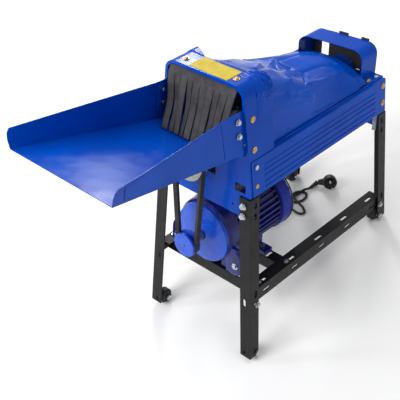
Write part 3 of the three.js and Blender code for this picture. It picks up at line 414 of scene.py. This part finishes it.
cover = {
    "wall": 1.2, "rows": 300, "half": 90,
    # y, then half outlines [x, z] from the middle to the foot
    "stations": [
        [50, [[0, 667.5], [45, 667.5], [84, 663], [100, 647], [103, 622], [108, 575], [112, 518]]],
        [84, [[0, 664], [45, 664], [84, 658], [101, 640], [106, 620], [109, 575], [112, 518]]],
        [165, [[0, 640], [45, 638], [82, 625], [98, 612], [104, 594], [109, 560], [112, 518]]],
        [228, [[0, 598], [42, 606], [80, 600], [97, 592], [103, 576], [108, 550], [112, 518]]],
        [285, [[0, 575], [36, 580], [72, 584], [92, 572], [101, 557], [107, 540], [112, 518]]],
        [345, [[0, 575], [34, 575], [58, 572], [86, 557], [99, 543], [106, 532], [112, 518]]],
        [409, [[0, 567.5], [26, 565.5], [50, 559.5], [78, 548.5], [95, 536.5], [104, 528], [112, 518]]],
    ],
    # pressed folds on the top: from (x, y), to (x, y), height, width; below zero is a groove
    "folds": [
        [(-46, 286), (31, 126), 4.6, 8], [(-46, 286), (76, 190), 6.0, 7], [(76, 190), (92, 238), -5.0, 6],
        [(-44, 286), (30, 298), 4.0, 8], [(30, 298), (84, 232), -6.0, 9], [(30, 298), (42, 404), -5.0, 6],
        [(90, 238), (72, 404), 6.0, 6], [(104, 82), (85, 178), 5.0, 6], [(85, 178), (90, 238), 4.4, 6],
        [(40, 118), (10, 220), -3.0, 12], [(-60, 250), (-8, 190), 2.6, 9],
        [(-30, 110), (-84, 226), 2.6, 9], [(-84, 226), (-70, 400), 3.0, 6], [(-44, 286), (-36, 404), -2.6, 7],
    ],
    # folds on the slopes: from (y, z), to (y, z), height, width
    "sideFolds": [
        [(86, 624), (144, 612), -5.5, 5], [(144, 612), (191, 594), 4.2, 5], [(191, 594), (245, 580), -6.0, 5],
        [(245, 580), (343, 547), 5.0, 4.5], [(150, 602), (230, 566), 4.0, 6], [(99, 534), (141, 530), -1.6, 1.4],
        [(222, 529), (352, 521), -1.6, 1.4], [(60, 598), (200, 566), 1.6, 14],
    ],
    # broad hollows in the top: centre (x, y), half size (x, y), depth
    "hollows": [[(-78, 170), (62, 110), 9.0], [(-10, 236), (52, 44), 3.0], [(70, 300), (26, 70), 2.0]],
    # collar under the rear edge, and the foot flanges
    "collar": {"from": 404, "to": 440, "half": 109, "foot": 518, "rise": 37},
    "flange": {"from": 56, "to": 440, "inner": 111.4, "outer": 118, "z": 517.2},
}


def foldHeight(a, b, fold):
    # height * exp(-distance to the fold line / width), a sharp crest that dies away on both sides
    (a0, b0), (a1, b1), height, width = fold
    length2 = (a1 - a0) ** 2 + (b1 - b0) ** 2
    t = np.clip(((a - a0) * (a1 - a0) + (b - b0) * (b1 - b0)) / length2, 0, 1)
    distance = np.hypot(a - a0 - t * (a1 - a0), b - b0 - t * (b1 - b0))
    return height * np.exp(-distance / width)


def coverSurface():
    # outlines carried along Y: each is read at equal shares of its length, and rows blend between stations
    share = np.linspace(0, 1, cover["half"])
    stationY, outlineX, outlineZ = [], [], []
    for y, half in cover["stations"]:
        line = np.array(half, float)
        run = np.concatenate([[0], np.cumsum(np.hypot(*np.diff(line, axis=0).T))])
        stationY.append(y)
        outlineX.append(np.interp(share, run / run[-1], line[:, 0]))
        outlineZ.append(np.interp(share, run / run[-1], line[:, 1]))
    y = np.linspace(stationY[0], stationY[-1], cover["rows"])
    x = np.array([np.interp(y, stationY, column) for column in np.array(outlineX).T]).T
    z = np.array([np.interp(y, stationY, column) for column in np.array(outlineZ).T]).T
    x, z = smoothed(smoothed(x, 1, 5), 0, 11), smoothed(smoothed(z, 1, 5), 0, 11)
    fullX = np.concatenate([-x[:, :0:-1], x], 1)
    fullZ = np.concatenate([z[:, :0:-1], z], 1)
    fullY = np.broadcast_to(y[:, None], fullX.shape).copy()
    flat = np.clip((np.abs(np.gradient(fullX, axis=1)) - 0.35) / 0.5, 0, 1)  # 1 on the top, 0 on the slopes
    edge = np.clip((fullY - 50) / 20, 0, 1) * np.clip((411 - fullY) / 12, 0, 1)
    lift = sum(foldHeight(fullX, fullY, fold) for fold in cover["folds"])
    push = sum(foldHeight(fullY, fullZ, fold) for fold in cover["sideFolds"])
    sunk = 0
    for (midX, midY), (halfX, halfY), depth in cover["hollows"]:
        sunk = sunk + depth * np.exp(-((fullX - midX) / halfX) ** 2 - ((fullY - midY) / halfY) ** 2)
    fullZ += (lift * (0.25 + 0.75 * flat) - sunk * (0.2 + 0.8 * flat)) * edge
    fullX += np.sign(fullX) * push * edge * (1 - flat)
    return np.stack([fullX, fullY, fullZ], -1)


def makeCover():
    points = coverSurface()
    rows, columns = points.shape[:2]
    shell = newPiece("cover_shell", placed(points).reshape(-1, 3), gridFaces(rows, columns)[:, ::-1], coverCoat)
    walled(shell, cover["wall"])
    # collar under the rear edge: height = foot + rise * (1 - share across ^ 2.6), falling a little to the rear
    plan = cover["collar"]
    across, along = np.meshgrid(np.linspace(-1, 1, 61), np.linspace(plan["from"], plan["to"], 9))
    top = plan["foot"] + plan["rise"] * (1 - np.abs(across) ** 2.6)
    collar = np.stack([plan["half"] * across, along, top + (412 - along) * 0.03], -1)
    under = newPiece("cover_collar", placed(collar).reshape(-1, 3), gridFaces(9, 61)[:, ::-1], coat)
    walled(under, cover["wall"])
    # foot flanges that carry the cover on the side panels
    plan = cover["flange"]
    flanges = []
    for side in (-1, 1):
        x, y = np.meshgrid([side * plan["inner"], side * plan["outer"]], [plan["from"], plan["to"]])
        strip = np.stack([x, y, np.full((2, 2), plan["z"])], -1)
        flanges.append((placed(strip).reshape(-1, 3), gridFaces(2, 2)[:, ::side]))
    foot = newPiece("cover_flanges", *joined(flanges), coat)
    walled(foot, cover["wall"])
    for piece in (shell, under, foot):
        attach(piece, "frame")
    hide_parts("top_cover")


makeCover()
print("cover made")

curtain = {
    "wall": 2.4, "left": -92, "right": 88, "strips": 10, "slitFrom": 0.3, "slitGap": 3.2,
    # y and z from the arch down to the free ends, then how far strips bow, sway, twist and lean inwards
    "path": [(34, 676), (12, 675.8), (5, 672), (0, 666), (-7, 654), (-18, 632), (-30, 607), (-43, 580),
             (-57, 552)],
    "bow": 8, "sway": 3, "twist": 3.5, "gather": 25, "seed": 4,
}


def makeCurtain():
    # strips side by side along one hanging line; below the slits each strip bows and sways a little on its own
    line = np.array(curtain["path"], float)
    run = np.concatenate([[0], np.cumsum(np.hypot(*np.diff(line, axis=0).T))])
    v = np.linspace(0, 1, 60)
    y = smoothed(np.interp(v * run[-1], run, line[:, 0]), 0, 7)
    z = smoothed(np.interp(v * run[-1], run, line[:, 1]), 0, 7)
    dy, dz = np.gradient(y), np.gradient(z)
    size = np.hypot(dy, dz)
    outY, outZ = dz / size, -dy / size  # towards the tray and up
    free = np.clip((v - curtain["slitFrom"]) / (1 - curtain["slitFrom"]), 0, 1)
    sheetWidth = curtain["right"] - curtain["left"]
    rng = np.random.default_rng(curtain["seed"])
    edges = np.linspace(curtain["left"], curtain["right"], curtain["strips"] + 1)
    edges[1:-1] += rng.uniform(-1.5, 1.5, curtain["strips"] - 1)
    parts = []
    for k in range(curtain["strips"]):
        u = np.linspace(0, 1, 9)[None, :]
        slit = curtain["slitGap"] * free[:, None] ** 0.6
        slit = slit * rng.uniform(0.3, 1.7)
        first = edges[k] + slit * 0.5 * (k > 0)
        last = edges[k + 1] - slit * 0.5 * (k < curtain["strips"] - 1)
        x = first + (last - first) * u
        bow = rng.uniform(-0.2, 1.0) * curtain["bow"] * np.sin(math.pi * free) ** 2
        twist = rng.uniform(-1, 1) * curtain["twist"] * free
        sway = rng.uniform(-0.4, 1.0) * curtain["sway"] * free ** 1.5
        push = bow[:, None] + twist[:, None] * (u - 0.5)
        pulled = curtain["gather"] * free[:, None] * (curtain["right"] - x) / sheetWidth
        hangY, hangZ = y[:, None] - outY[:, None] * push, z[:, None] - outZ[:, None] * push
        points = np.stack([x + sway[:, None] + pulled, hangY, hangZ], -1)
        parts.append((placed(points).reshape(-1, 3), gridFaces(60, 9)))
    piece = newPiece("curtain_strips", *joined(parts), sheetRubber)
    cleaned(piece)
    walled(piece, curtain["wall"], 0.0)
    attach(piece, "frame")
    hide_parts("rubber_curtain")


makeCurtain()
print("curtain made")

bodyLean = 0.1056  # how far the body's sides lean in, as a slope and nearly the same in radians


def sideFace(z):
    # outer face of the body's leaning side at height z
    return 132 - bodyLean * (z - 428.5)


def panHead(at, facing, size=5.0, washer=7.2):
    # washer, then a domed head with a small round recess, turned about the way it faces
    crown = 3.9 + size * 0.06
    profile = [(0, 0), (washer, 0), (washer, 0.9), (washer - 0.5, 1.1), (size, 1.1), (size, 2.2),
               (size * 0.86, 3.2), (size * 0.5, crown), (size * 0.22, crown), (size * 0.16, 2.6), (0, 2.5)]
    return turned(np.array(profile) / 1000, at, facing, 20)


def hexHead(at, facing, size=5.8, washer=7.6):
    # round washer under a head that is turned with six sides
    ring = np.array([(0, 0), (washer, 0), (washer, 1.2), (0, 1.2)]) / 1000
    head = np.array([(0, 1.2), (size, 1.2), (size, 4.6), (size * 0.86, 5.2), (0, 5.2)]) / 1000
    return joined([turned(ring, at, facing, 24), turned(head, at, facing, 6)])


def addFastener(name, shape, material):
    piece = newPiece(name, *shape, material, smooth=False)
    cleaned(piece, 0.000005)
    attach(piece, "frame")


screws = {
    # y and z of the pan heads down the body's side, and of the one hexagon head among them
    "sidePan": [(20, 607), (20, 539), (20, 454), (487, 500), (487, 457)], "sideHex": (20, 499),
    # x, y, z of the heads that face up: on the hood's foot, beside it, and on the arch
    "footPan": (103, 459, 517), "footHex": (107, 485, 515.4), "archPan": (68, 22, 680.2),
    # name, y, z of the rail bolts; y of the crossbar bolts; z of the domes on the front legs
    "rail": [("front", 9, 146), ("rear", 503, 160)], "bar": (35, 134), "barX": 132.5, "barZ": 184.3,
    "dome": (383, 407.5), "domeX": 115.5,
}
leg = {"topX": 133, "splay": 28, "height": 428, "frontFace": -3.9, "rake": 0.0425}


def legX(z):
    # outer face of a leg at height z: straight from topX, splay wider at the foot
    return leg["topX"] + leg["splay"] * (leg["height"] - z) / leg["height"]


def makeScrews():
    spots = []
    for side in (1, -1):
        facing = (math.cos(bodyLean) * acrossBody + math.sin(bodyLean) * upBody) * [side, 1, 1]
        for y, z in screws["sidePan"]:
            proud = 0.4 if y < 100 else 2.2  # the rear two sit on the side panel, which stands outside the arch
            spots.append((placed((side * (sideFace(z) + proud), y, z)), facing, "pan"))
        y, z = screws["sideHex"]
        spots.append((placed((side * (sideFace(z) + 0.4), y, z)), facing, "hex"))
        for key, kind in [("footPan", "pan"), ("footHex", "hex"), ("archPan", "pan")]:
            spots.append((placed(np.array(screws[key]) * [side, 1, 1]), upBody, kind))
    for count, (at, facing, kind) in enumerate(spots, 1):
        if kind == "pan":
            addFastener(f"body_screw_{count}", panHead(at, facing), yellowZinc)
        else:
            addFastener(f"body_bolt_{count}", hexHead(at, facing), zinc)
    for side, hand in [(1, "right"), (-1, "left")]:
        for name, y, z in screws["rail"]:
            bolt = hexHead(placed((side * (legX(z) + 0.3), y, z)), acrossBody * side)
            addFastener(f"rail_bolt_{name}_{hand}", bolt, zinc)
        for y in screws["bar"]:
            bolt = hexHead(placed((side * screws["barX"], y, screws["barZ"])), upBody, 5.0, 6.4)
            addFastener(f"bar_bolt_{y}_{hand}", bolt, zinc)
    for side, hand in [(1, "right"), (-1, "left")]:
        for z in screws["dome"]:
            face = leg["frontFace"] - leg["rake"] * (leg["height"] - z)
            dome = panHead(placed((side * screws["domeX"], face - 0.9, z)), -alongBody, 6.8, 8.0)
            addFastener(f"leg_dome_{z:.0f}_{hand}", dome, zinc)


makeScrews()
print("screws made")


motorTrim = {
    # radius and distance along the shaft, in mm, of the pulley's cap; then of the rim, from the cowl's own edge
    "cap": [(0, -0.3), (3.4, -0.3), (3.6, -1.6), (9, -1.8), (23, -1.8), (29.2, -1.2), (29.6, -0.2), (0, -0.2)],
    "rim": [(-5, 0.2), (-5, 1.2), (-1, 1.2), (0.5, 0), (0.5, -4.2), (0.2, -4.4), (0.2, 0.2), (-5, 0.2)],
}


def reachOf(name, centre):
    # how far each point of a node is along the body from centre, and how far from that axis
    offset = np.array([v.co for v in nodes[name].data.vertices], float) - centre
    along = offset @ alongBody
    return along, np.linalg.norm(offset - along[:, None] * alongBody, axis=1)


def makeMotorPieces():
    # cap and set screw of the motor's pulley, and the black rim of the cowl, all turned about the motor's axis
    axis = np.array([j for j in frame["joints"] if j["name"] == "motor_spin"][0]["pos_m"], float)
    front = min(reachOf("motor_rotor", axis)[0].min(), reachOf("motor_pulley", axis)[0].min())
    cap = turned(np.array(motorTrim["cap"]) / 1000, axis + alongBody * front, alongBody, 40)
    piece = newPiece("pulley_cap", *cap, discPaint, smooth=False)
    cleaned(piece)
    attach(piece, "motor_shaft")
    head = panHead(axis + alongBody * (front - 0.0003), -alongBody, 2.6, 3.3)
    screw = newPiece("pulley_set_screw", *head, bareSteel, smooth=False)
    cleaned(screw, 0.000005)
    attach(screw, "motor_shaft")
    along, radius = reachOf("motor_fan_cowl", axis)
    rim = turned(np.array(motorTrim["rim"]) / 1000 + [radius.max(), along.max()], axis, alongBody, 56)
    ring = newPiece("cowl_rim", *rim, plastic)
    cleaned(ring)
    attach(ring, "frame")


makeMotorPieces()

lug = {
    # outline (x, z) of the bell's cast foot lobe, which faces the tray, and its bolt
    "outline": [(50, 262), (80, 262), (96, 250), (99, 226), (99, 204), (93, 192), (82, 187), (66, 188),
                (54, 196), (50, 212)],
    "front": 11, "back": 23, "bolt": (82, 217), "axisX": -8,
}


def makeLug():
    # rounded slab: the outline is resampled and softened, then three rings give it a domed edge and closed faces
    corners = np.array(lug["outline"], float)
    loop = np.concatenate([corners, corners[:1]])
    run = np.concatenate([[0], np.cumsum(np.hypot(*np.diff(loop, axis=0).T))])
    share = np.linspace(0, run[-1], 72, endpoint=False)
    x, z = np.interp(share, run, loop[:, 0]), np.interp(share, run, loop[:, 1])
    for _ in range(6):
        x, z = (np.roll(x, 1) + x + np.roll(x, -1)) / 3, (np.roll(z, 1) + z + np.roll(z, -1)) / 3
    middle = np.array([x.mean(), z.mean()])
    rings = []
    front, back = lug["front"], lug["back"]
    for scale, y in [(0, front), (0.8, front), (0.94, front + 0.8), (1, front + 3), (1, back), (0, back)]:
        ringX, ringZ = middle[0] + (x - middle[0]) * scale, middle[1] + (z - middle[1]) * scale
        rings.append(np.stack([ringX, np.full(72, y), ringZ], 1))
    rings = np.array(rings)
    boltX, boltZ = lug["bolt"]
    for side, name in [(1, "right"), (-1, "left")]:
        # the left lobe mirrors the right one about the motor's own axis
        both = np.stack([lug["axisX"] + side * (rings[..., 0] - lug["axisX"]), rings[..., 1], rings[..., 2]], -1)
        faces = gridFaces(6, 72, aroundColumns=True)
        piece = newPiece("bell_foot_lobe_" + name, placed(both).reshape(-1, 3), faces, casting)
        cleaned(piece)
        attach(piece, "frame")
        at = placed((lug["axisX"] + side * (boltX - lug["axisX"]), lug["front"] - 0.2, boltZ))
        addFastener("bell_foot_bolt_" + name, hexHead(at, -alongBody, 5.4, 8.2), zinc)


archSkin = {
    "cornerX": 78, "cornerZ": 648, "radius": 32, "lift": 0.35, "wall": 1.3,
    # side, from x on the top, down to z, y of the front edge, y of the rear edge at the start and past the
    # corner, crumple in mm
    "parts": {"left_rear": (-1, 47, 640, 53, 55, 82, 0.0), "right_rear": (1, 62, 596, 36, 56, 84, 5.0)},
    "crumpleAt": (70, 662), "crumpleReach": (17, 26),
}


def makeArchSkins():
    # the arch's rear corners: its outline (flat top, round corner, leaning side) swept along Y, one dented
    for name, (side, fromX, toZ, front, rearStart, rearEnd, dent) in archSkin["parts"].items():
        angle = np.radians(np.linspace(90, 6, 40))
        roundX = archSkin["cornerX"] + archSkin["radius"] * np.cos(angle)
        x = np.concatenate([np.linspace(fromX, archSkin["cornerX"], 24)[:-1], roundX])
        z = np.concatenate([np.full(23, 680.0), archSkin["cornerZ"] + archSkin["radius"] * np.sin(angle)])
        down = np.linspace(archSkin["cornerZ"] - 4, toZ, 30)
        x, z = np.concatenate([x, sideFace(down)]), np.concatenate([z, down])
        outX, outZ = np.gradient(z) * -1, np.gradient(x)
        size = np.hypot(outX, outZ)
        outX, outZ = outX / size, outZ / size
        run = np.clip((x - fromX) / (92 - fromX), 0, 1)
        rear = rearStart + (rearEnd - rearStart) * run
        v = np.linspace(0, 1, 50)[:, None]
        y = front + (rear - front)[None, :] * v
        # dents: crossed ridges inside a soft oval about the corner
        (midY, midZ), (reachY, reachZ) = archSkin["crumpleAt"], archSkin["crumpleReach"]
        away = ((y - midY) / reachY) ** 2 + ((z - midZ) / reachZ) ** 2
        ridges = 1 - np.abs(np.sin(y * 0.21 + z * 0.17)) - np.abs(np.sin(y * 0.34 - z * 0.12 + 1.0)) * 0.8
        ridges = ridges + 0.3 * np.sin(y * 0.9 + z * 0.5)
        push = archSkin["lift"] + dent * np.exp(-away) * (ridges + 0.5)
        # front and lower edges dip into the arch's own sheet, so that no seam shows
        blend = np.clip(v / 0.3, 0, 1) * np.clip((z - toZ) / 30, 0, 1) * np.clip((x - fromX + 2) / 8, 0, 1)
        blend = blend * blend * (3 - 2 * blend)
        push = np.maximum(push, archSkin["lift"]) * blend - 0.9 * (1 - blend)
        points = np.stack([side * (x + outX * push), y, z + outZ * push], -1)
        faces = gridFaces(50, len(x))[:, ::-side]
        skin = newPiece("arch_corner_" + name, placed(points).reshape(-1, 3), faces, coat)
        walled(skin, archSkin["wall"], -1.0)
        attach(skin, "frame")


outletHem = {
    # from x to x for each strip; height, place along the body, wave across it and thickness, in mm
    "parts": {"right": (23, 52), "left": (-44, -23)}, "top": 526, "bottom": 510, "y": 503.6,
    "wave": 0.35, "wall": 1.4,
}


def makeOutletHems():
    # short rubber strips that close the gap over the rear bearing: y = place + wave * sin(0.35 x)
    for name, (x0, x1) in outletHem["parts"].items():
        x, z = np.meshgrid(np.linspace(x0, x1, 16), np.linspace(outletHem["top"], outletHem["bottom"], 10))
        y = outletHem["y"] + outletHem["wave"] * np.sin(x * 0.35)
        points = placed(np.stack([x, y, z], -1)).reshape(-1, 3)
        hem = newPiece("outlet_hem_" + name, points, gridFaces(10, 16), sheetRubber)
        walled(hem, outletHem["wall"], 0.0)
        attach(hem, "frame")


makeArchSkins()
makeOutletHems()

sticker = {"left": -45, "right": 58, "front": 4, "back": 52.5, "lift": 0.25}  # mm


def makeSticker():
    # thin printed film that follows the arch's flat top, its two long edges a little lifted
    across, along = np.meshgrid(np.linspace(0, 1, 41), np.linspace(0, 1, 25))
    x = sticker["left"] + (sticker["right"] - sticker["left"]) * across
    y = sticker["front"] + (sticker["back"] - sticker["front"]) * along
    z = 680.15 + sticker["lift"] * (np.sin(across * 9) * np.abs(2 * along - 1) ** 6 + 0.5)
    points = placed(np.stack([x, y, z], -1)).reshape(-1, 3)
    film = newPiece("plain_sticker", points, gridFaces(25, 41), vinyl)
    walled(film, 0.12, 1.0)
    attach(film, "frame")
    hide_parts("top_label")


makeLug()
makeSticker()
print("lug and sticker made")

# supply cord, plug and sleeve: these points stand on the floor's own frame, in mm
cord = {
    "diameter": 6.6,
    "exit": (-50, 158.6, 364), "straight": (0, 12, 26, 42),  # the exit is in the machine's frame
    "drop": [(-50, 98, 316), (-52, 120, 308), (-57, 140, 288), (-63, 149, 255), (-68, 151, 200),
             (-73, 151, 130), (-75.5, 150.6, 70), (-78, 150.3, 36), (-86, 150.1, 15)],
    "coil": {"centre": (-104, 180), "inner": 30, "pitch": 6.9, "turns": 2.5},
    "laid": [(-78, 227.5, 3.6), (-59, 225, 3.6), (-41, 223, 3.6), (-29, 226, 3.8), (-26, 235, 4.4),
             (-38, 244, 6.4), (-57, 250, 8.6), (-74, 256, 10.8), (-87, 266, 9.5), (-90, 279, 6), (-81, 291, 4),
             (-68, 294, 3.6), (-58, 286, 3.6), (-56, 272, 3.6), (-62, 257, 3.6), (-72, 249, 3.6),
             (-83, 253, 3.6), (-86, 266, 3.6), (-80, 281, 6), (-73, 297, 10), (-67.4, 311.6, 6.6)],
}


def curveThrough(points, steps):
    # Catmull-Rom: each span is the cubic whose slope at a knot is half the chord across it
    p = np.asarray(points, float)
    ends = np.concatenate([[2 * p[0] - p[1]], p, [2 * p[-1] - p[-2]]])
    t = np.linspace(0, 1, steps, endpoint=False)[None, :, None]
    a, b, c, d = (ends[k:len(ends) - 3 + k][:, None, :] for k in range(4))
    bend, twist = 2 * a - 5 * b + 4 * c - d, 3 * b - a - 3 * c + d
    spans = 0.5 * (2 * b + (c - a) * t + bend * t ** 2 + twist * t ** 3)
    return np.concatenate([spans.reshape(-1, 3), p[-1:]])


def sweptTube(line, radii, sides=16):
    # ring of the given radius, or of two radii for an oval, carried along the line and kept level sideways
    line = np.asarray(line, float)
    tangent = np.gradient(line, axis=0)
    tangent /= np.linalg.norm(tangent, axis=1)[:, None]
    side = np.cross(tangent, [0.0, 0.0, 1.0])
    side /= np.linalg.norm(side, axis=1)[:, None]
    up = np.cross(side, tangent)
    a = np.linspace(0, 2 * math.pi, sides, endpoint=False)
    radii = np.asarray(radii, float)
    if radii.ndim == 1:
        radii = np.stack([radii, radii], 1)
    wide = radii[:, None, :1] * np.cos(a)[None, :, None] * side[:, None]
    high = radii[:, None, 1:] * np.sin(a)[None, :, None] * up[:, None]
    ends = [np.broadcast_to(line[k, None, None], (1, sides, 3)) for k in (0, -1)]
    capped = np.concatenate([ends[0], line[:, None, :] + wide + high, ends[1]])
    return capped.reshape(-1, 3), gridFaces(len(line) + 2, sides, aroundColumns=True)


def coilPoints():
    # flat clockwise spiral from its lowest point: radius grows by one pitch in each turn
    coil = cord["coil"]
    turn = np.linspace(0, coil["turns"], int(coil["turns"] * 16) + 1)
    angle = -math.pi / 2 - turn * 2 * math.pi
    radius = coil["inner"] + coil["pitch"] * turn
    x, y = coil["centre"][0] + radius * np.cos(angle), coil["centre"][1] + radius * np.sin(angle)
    return np.stack([x, y, np.full(len(turn), cord["diameter"] / 2 + 0.1)], 1)


def makeCord():
    exitHole = placed(cord["exit"])
    straight = exitHole + alongBody * np.array(cord["straight"])[:, None] / 1000
    onFloor = np.concatenate([np.array(cord["drop"]), coilPoints(), np.array(cord["laid"])])
    knots = np.concatenate([straight, onFloor / 1000])
    line = curveThrough(knots, 8)
    line[:, 2] = np.maximum(line[:, 2], cord["diameter"] / 2000 + 0.0001)
    data = bpy.data.curves.new("supply_cord", "CURVE")
    data.dimensions = "3D"
    data.bevel_depth = cord["diameter"] / 2000
    data.bevel_resolution = 4
    data.use_fill_caps = True
    spline = data.splines.new("POLY")
    spline.points.add(len(line) - 1)
    spline.points.foreach_set("co", np.concatenate([line, np.ones((len(line), 1))], 1).ravel())
    data.materials.append(cordRubber)
    piece = bpy.data.objects.new("supply_cord", data)
    bpy.context.scene.collection.objects.link(piece)
    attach(piece, "frame")
    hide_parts("power_cord")
    # strain relief: a tapering sleeve with five shallow rings
    share = np.linspace(0, 1, 24)
    sleeveLine = exitHole + alongBody * (0.0004 + 0.026 * share[:, None])
    sleeveRadius = (6.4 - 2.5 * share + 0.35 * np.sin(share * 10 * math.pi)) / 1000
    strain = newPiece("gland_strain_relief", *sweptTube(sleeveLine, sleeveRadius, 20), cordRubber)
    cleaned(strain)
    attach(strain, "frame")
    sleeve = makeSleeve()
    plug = makePlug()


plugPlan = {
    "sleeveStart": (-67.1, 314, 5.4), "sleeveEnd": (-59, 339, 11), "centre": (-27, 352, 21.4),
    # the way the pins point, and half their spacing in mm
    "pins": (0.7, -0.65, 0.28), "pinHalf": 9.5,
    # radius and depth along the pins: the round body with its hollow face, and one pin
    "body": [(0, -15), (9, -15), (14, -12.5), (17, -8), (18.4, -3), (18.4, 12.4), (17.6, 13.2), (14.6, 13.2),
             (14.2, 9), (0, 9)],
    "pin": [(0, 6), (2.4, 6), (2.4, 28), (1.6, 30.5), (0, 31)],
}


def makeSleeve():
    # tapered grommet with rings cut round it: radius grows along the line and dips at each ring
    a, b = (np.array(plugPlan[k], float) / 1000 for k in ("sleeveStart", "sleeveEnd"))
    t = np.linspace(0, 1, 50)
    radius = (4.2 + 2.9 * t - 0.7 * (np.sin(t * 7 * 2 * math.pi) > 0.35)) / 1000
    piece = newPiece("plug_grommet", *sweptTube(a + (b - a) * t[:, None], radius, 20), cordRubber)
    cleaned(piece)
    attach(piece, "frame")
    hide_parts("plug_sleeve")
    return piece


def makePlug():
    # a turned body, an oval handle that widens from the sleeve to it, and two turned pins
    centre, grip = (np.array(plugPlan[k], float) / 1000 for k in ("centre", "sleeveEnd"))
    pins = np.array(plugPlan["pins"], float)
    pins /= np.linalg.norm(pins)
    body = turned(np.array(plugPlan["body"]) / 1000, centre, pins, 48)
    t = np.linspace(0, 1, 24)
    line = grip + (centre - grip) * (0.12 + 0.72 * t)[:, None]
    waist = np.stack([8 + 7 * t ** 1.5, 7.4 + 4.4 * t ** 1.3], 1) / 1000
    handle = sweptTube(line, waist, 24)
    shape = newPiece("plug_body", *joined([body, handle]), plastic)
    cleaned(shape)
    across = np.cross(pins, (centre - grip) / np.linalg.norm(centre - grip))
    across /= np.linalg.norm(across)
    metal = []
    for side in (-1, 1):
        place = centre + across * side * plugPlan["pinHalf"] / 1000
        metal.append(turned(np.array(plugPlan["pin"]) / 1000, place, pins, 16))
    blades = newPiece("plug_pins", *joined(metal), zinc)
    cleaned(blades)
    blades.parent = shape
    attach(shape, "frame")
    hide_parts("power_plug")
    return shape


makeCord()
print("cord made")

studio = {
    "floor": "F4F4F3", "floorHalf": 12.0, "worldStrength": 0.55, "aim": (0, 0, 0.4),  # metres
    # name, place in metres, width, height, watts
    "lights": [
        ("keySoftbox", (-0.7, -2.2, 2.5), 1.6, 1.6, 66),
        ("skyPanel", (-1.9, 2.0, 2.3), 2.2, 1.2, 14),
        ("tallStrip", (-1.75, 1.9, 1.75), 0.22, 1.5, 22),
        ("topStrip", (0.7, 0.5, 2.9), 0.25, 1.6, 12),
        ("frontStrip", (-1.9, -1.5, 1.2), 0.2, 1.4, 12),
    ],
}


def makeStudio():
    look = {"Base Color": toLinear(studio["floor"]), "Roughness": 0.9}
    material = newMaterial("paleMattFloor", look)[0]
    size, low = studio["floorHalf"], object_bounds()[0][2]
    corners = np.array([(-size, -size, low), (size, -size, low), (size, size, low), (-size, size, low)])
    floor = newPiece("studio_floor", corners, [(0, 1, 2, 3)], material)
    world = bpy.data.worlds.new("softStudio")
    bpy.context.scene.world = world
    world.use_nodes = True
    background = world.node_tree.nodes["Background"]
    background.inputs["Color"].default_value = (1, 1, 1, 1)
    background.inputs["Strength"].default_value = studio["worldStrength"]
    for name, place, width, height, power in studio["lights"]:
        light = bpy.data.lights.new(name, "AREA")
        light.shape = "RECTANGLE"
        light.size, light.size_y, light.energy = width, height, power
        lamp = bpy.data.objects.new(name, light)
        bpy.context.scene.collection.objects.link(lamp)
        lamp.location = place
        lamp.rotation_mode = "QUATERNION"
        lamp.rotation_quaternion = (Vector(place) - Vector(studio["aim"])).to_track_quat("Z", "Y")
    bpy.context.scene.view_settings.view_transform = "Standard"


makeStudio()
print("studio made")
